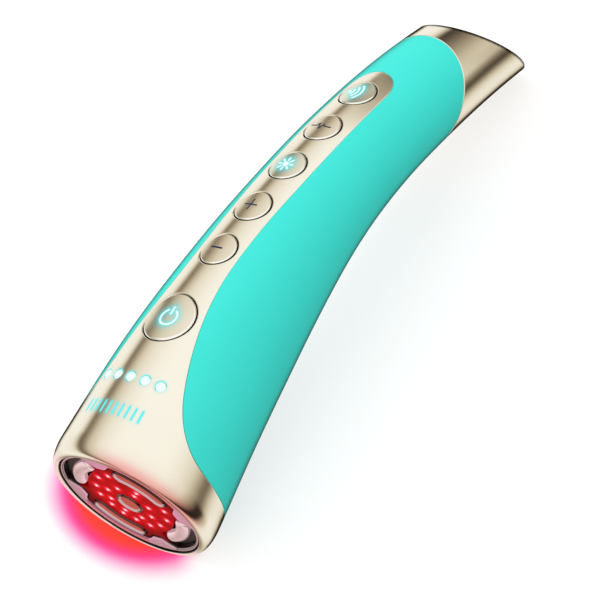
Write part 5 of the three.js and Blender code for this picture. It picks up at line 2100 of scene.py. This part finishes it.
@dataclass(frozen=True)
class Studio:
    """The camera, the floor, the world and the lamp, in metres, degrees and watts.

    The levels are what metal mirrors round the device's length, as degrees and brightness, for
    surfaces that look to its side, past the head's face and past the tail.
    """

    camera_place: Triple = (0.498283, -0.359136, 0.528784)
    camera_degrees: Triple = (45.4289, 22.9344, 34.0038)
    camera_lens: float = 183.288
    floor_half: float = 12.0
    floor_tone: float = 0.4
    glow_middle: Triple = (-0.020, -0.072, 0)
    glow_size: Triple = (0.036, 0.0213, 1)
    glow_degrees: float = -15
    glow_across: Triple = (0.8, 0.6, 0)
    glow_end: Pair = (-0.050, -0.040)
    pink_ring: Pair = (0.7, 1.08)
    red_ring: Pair = (0.58, 0.88)
    room: float = 0.99
    key_place: Triple = (-0.5, -0.1, 0.9)
    key_size: float = 0.5
    key_power: float = 1.4
    side_levels: Levels = (
        (-180, 0.76), (-175, 0.69), (-165, 0.46), (-156, 0.24), (-148, 0.17), (-142, 0.3), (-134, 0.58),
        (-124, 0.82), (-112, 0.95), (-98, 0.91), (-84, 0.85), (-75, 0.66), (-70, 0.03), (-22, 0.02),
        (-16, 0.78), (-8, 0.95), (8, 0.95), (15, 0.94), (20, 0.86), (24, 0.68), (28, 0.3), (31, 0.2),
        (35, 0.29), (42, 0.57), (50, 0.77), (60, 0.87), (75, 0.96), (90, 1), (145, 0.98), (165, 0.89),
        (180, 0.76),
    )
    face_levels: Levels = (
        (-180, 0.8), (-168, 0.5), (-160, 0.28), (-151, 0.03), (-137, 0.03), (-129, 0.5), (-115, 0.92),
        (-90, 0.9), (-62, 0.5), (-40, 0.3), (-22, 0.75), (-5, 0.95), (15, 0.9), (22, 0.72), (27, 0.26),
        (31, 0.13), (36, 0.24), (45, 0.62), (60, 0.87), (80, 0.98), (150, 0.97), (180, 0.8),
    )
    tail_levels: Levels = (
        (-180, 0.45), (-175, 0.36), (-165, 0.16), (-155, 0.06), (-149, 0.1), (-142, 0.3), (-135, 0.56),
        (-125, 0.79), (-113, 0.88), (-100, 0.88), (-86, 0.74), (-79, 0.36), (-73, 0.03), (-21, 0.01),
        (-14, 0.92), (-5, 0.97), (15, 0.95), (24, 0.86), (31, 0.6), (37, 0.22), (42, 0.03), (48, 0.05),
        (60, 0.11), (75, 0.19), (95, 0.31), (115, 0.44), (135, 0.57), (152, 0.64), (166, 0.6),
        (180, 0.47),
    )

    def camera(self) -> None:
        """Places the camera at the photograph's viewing angle."""
        data = bpy.data.cameras.new("camera")
        data.lens, data.sensor_width = self.camera_lens, 36.0
        data.clip_start, data.clip_end = 0.01, 100.0
        camera = linked("camera", data)
        camera.location = self.camera_place
        camera.rotation_euler = [math.radians(angle) for angle in self.camera_degrees]
        bpy.context.scene.camera = camera

    def world(self) -> None:
        """A white room, with soft dark flags that only metal and gloss show."""
        world = bpy.data.worlds.new("studio")
        world.use_nodes = True
        bpy.context.scene.world = world
        tree = Tree(world.node_tree)
        parts = tree.node("ShaderNodeSeparateXYZ")
        tree.put(parts.inputs[0], tree.node("ShaderNodeTexCoord").outputs["Generated"])
        x, y, z = parts.outputs
        turn = tree.math("ARCTAN2", z, tree.math("MULTIPLY", x, -1.0))
        share = tree.math("MULTIPLY_ADD", turn, 0.5 / math.pi, 0.5)
        side, face, tail = (
            self.levels(tree, share, table)
            for table in (self.side_levels, self.face_levels, self.tail_levels)
        )
        below = tree.math("MAXIMUM", tree.math("MULTIPLY", z, -0.5), 0.0)
        level = tree.mix(tree.ramp(tree.math("ADD", y, below), 0.7, 0.83), side, tail)
        level = tree.mix(tree.ramp(y, 0.1, 0.3, 1.0, 0.0), level, face)
        tone = tree.node("ShaderNodeCombineColor")
        green = tree.math("MULTIPLY_ADD", level, 0.23, 0.77)
        blue = tree.math("MULTIPLY_ADD", tree.math("MULTIPLY", level, level), 0.42, 0.58)
        for socket, part in zip(tone.inputs, (1.0, green, blue)):
            tree.put(socket, tree.math("MULTIPLY", level, part))
        plain = tree.mix(tree.seen(), (self.room, self.room, self.room, 1), WHITE)
        glossy = tree.node("ShaderNodeLightPath").outputs["Is Glossy Ray"]
        mixed = tree.mix(glossy, plain, tone.outputs[0])
        tree.fill(world.node_tree.nodes["Background"], Color=mixed)

    def levels(self, tree: Tree, share: Socket, table: Levels) -> Socket:
        """Looks up the brightness for a direction, stated as a share of a full turn."""
        ramp = tree.node("ShaderNodeValToRGB")
        stops = ramp.color_ramp.elements
        for k, (degrees, level) in enumerate(table):
            stop = stops[k] if k < 2 else stops.new(1.0)
            stop.position = degrees / 360 + 0.5
            stop.color = (level, level, level, 1)
        tree.put(ramp.inputs[0], share)
        return ramp.outputs[0]

    def floor(self) -> None:
        """A pale floor that keeps the shadow and shows the head's red light."""
        half = self.floor_half
        mesh = bpy.data.meshes.new("floor")
        corners = [(-half, -half, 0), (half, -half, 0), (half, half, 0), (-half, half, 0)]
        mesh.from_pydata(corners, [], [(0, 1, 2, 3)])
        floor = linked("floor", mesh)
        floor.visible_glossy = False
        material, tree, shader = start_material("pale_floor", WHITE)
        mesh.materials.append(material)
        painted_colour = self.red_light(tree)
        strength = tree.math("MULTIPLY", tree.seen(), 1 - 0.8 * self.floor_tone)
        tree.fill(shader, Roughness=1.0, Specular_IOR_Level=0.0)
        tree.fill(shader, Base_Color=tree.mix(1 - self.floor_tone, painted_colour, BLACK))
        tree.fill(shader, Emission_Color=painted_colour, Emission_Strength=strength)

    def red_light(self, tree: Tree) -> Socket:
        """The colour of the floor: white, with the head's light in front of the face."""
        place = tree.node("ShaderNodeTexCoord").outputs["Object"]
        centred = tree.node("ShaderNodeMapping", vector_type="TEXTURE")
        tree.fill(centred, Vector=place, Location=self.glow_middle, Scale=self.glow_size)
        tree.fill(centred, Rotation=(0, 0, math.radians(self.glow_degrees)))
        length = tree.node("ShaderNodeVectorMath", operation="LENGTH")
        tree.put(length.inputs[0], centred.outputs[0])
        across = tree.node("ShaderNodeVectorMath", operation="DOT_PRODUCT")
        tree.put(across.inputs[0], place)
        tree.put(across.inputs[1], self.glow_across)
        in_front = tree.ramp(across.outputs["Value"], *self.glow_end, 1.0, 0.0)
        outer = tree.ramp(length.outputs["Value"], *self.pink_ring, 1.0, 0.0)
        inner = tree.ramp(length.outputs["Value"], *self.red_ring, 1.0, 0.0)
        painted_pink_light = tree.mix(tree.math("MULTIPLY", outer, in_front), WHITE, colour(255, 70, 178))
        return tree.mix(tree.math("MULTIPLY", inner, in_front), painted_pink_light, colour(252, 70, 60))

    def lamp(self) -> None:
        """A square soft light that looks at the object and isn't mirrored in it."""
        data = bpy.data.lights.new("key_light", "AREA")
        data.size, data.energy = self.key_size, self.key_power
        light = linked("key_light", data)
        light.location = self.key_place
        light.rotation_euler = (-Vector(self.key_place)).to_track_quat("-Z", "Y").to_euler()
        light.visible_glossy = False

    def build(self) -> None:
        """Sets the whole studio."""
        bpy.context.scene.view_settings.view_transform = "Standard"
        self.camera()
        self.world()
        self.floor()
        self.lamp()


def main() -> None:
    """Builds the studio and every piece."""
    logging.basicConfig(level=logging.INFO, format="%(name)s %(message)s")
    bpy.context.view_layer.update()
    for part in (Studio(), SKINS, Caps(), TreatmentHead(), TailEnd()):
        LOG.info("building %s", type(part).__name__)
        part.build()
    dress_inside()


if __name__ == "__main__":
    main()
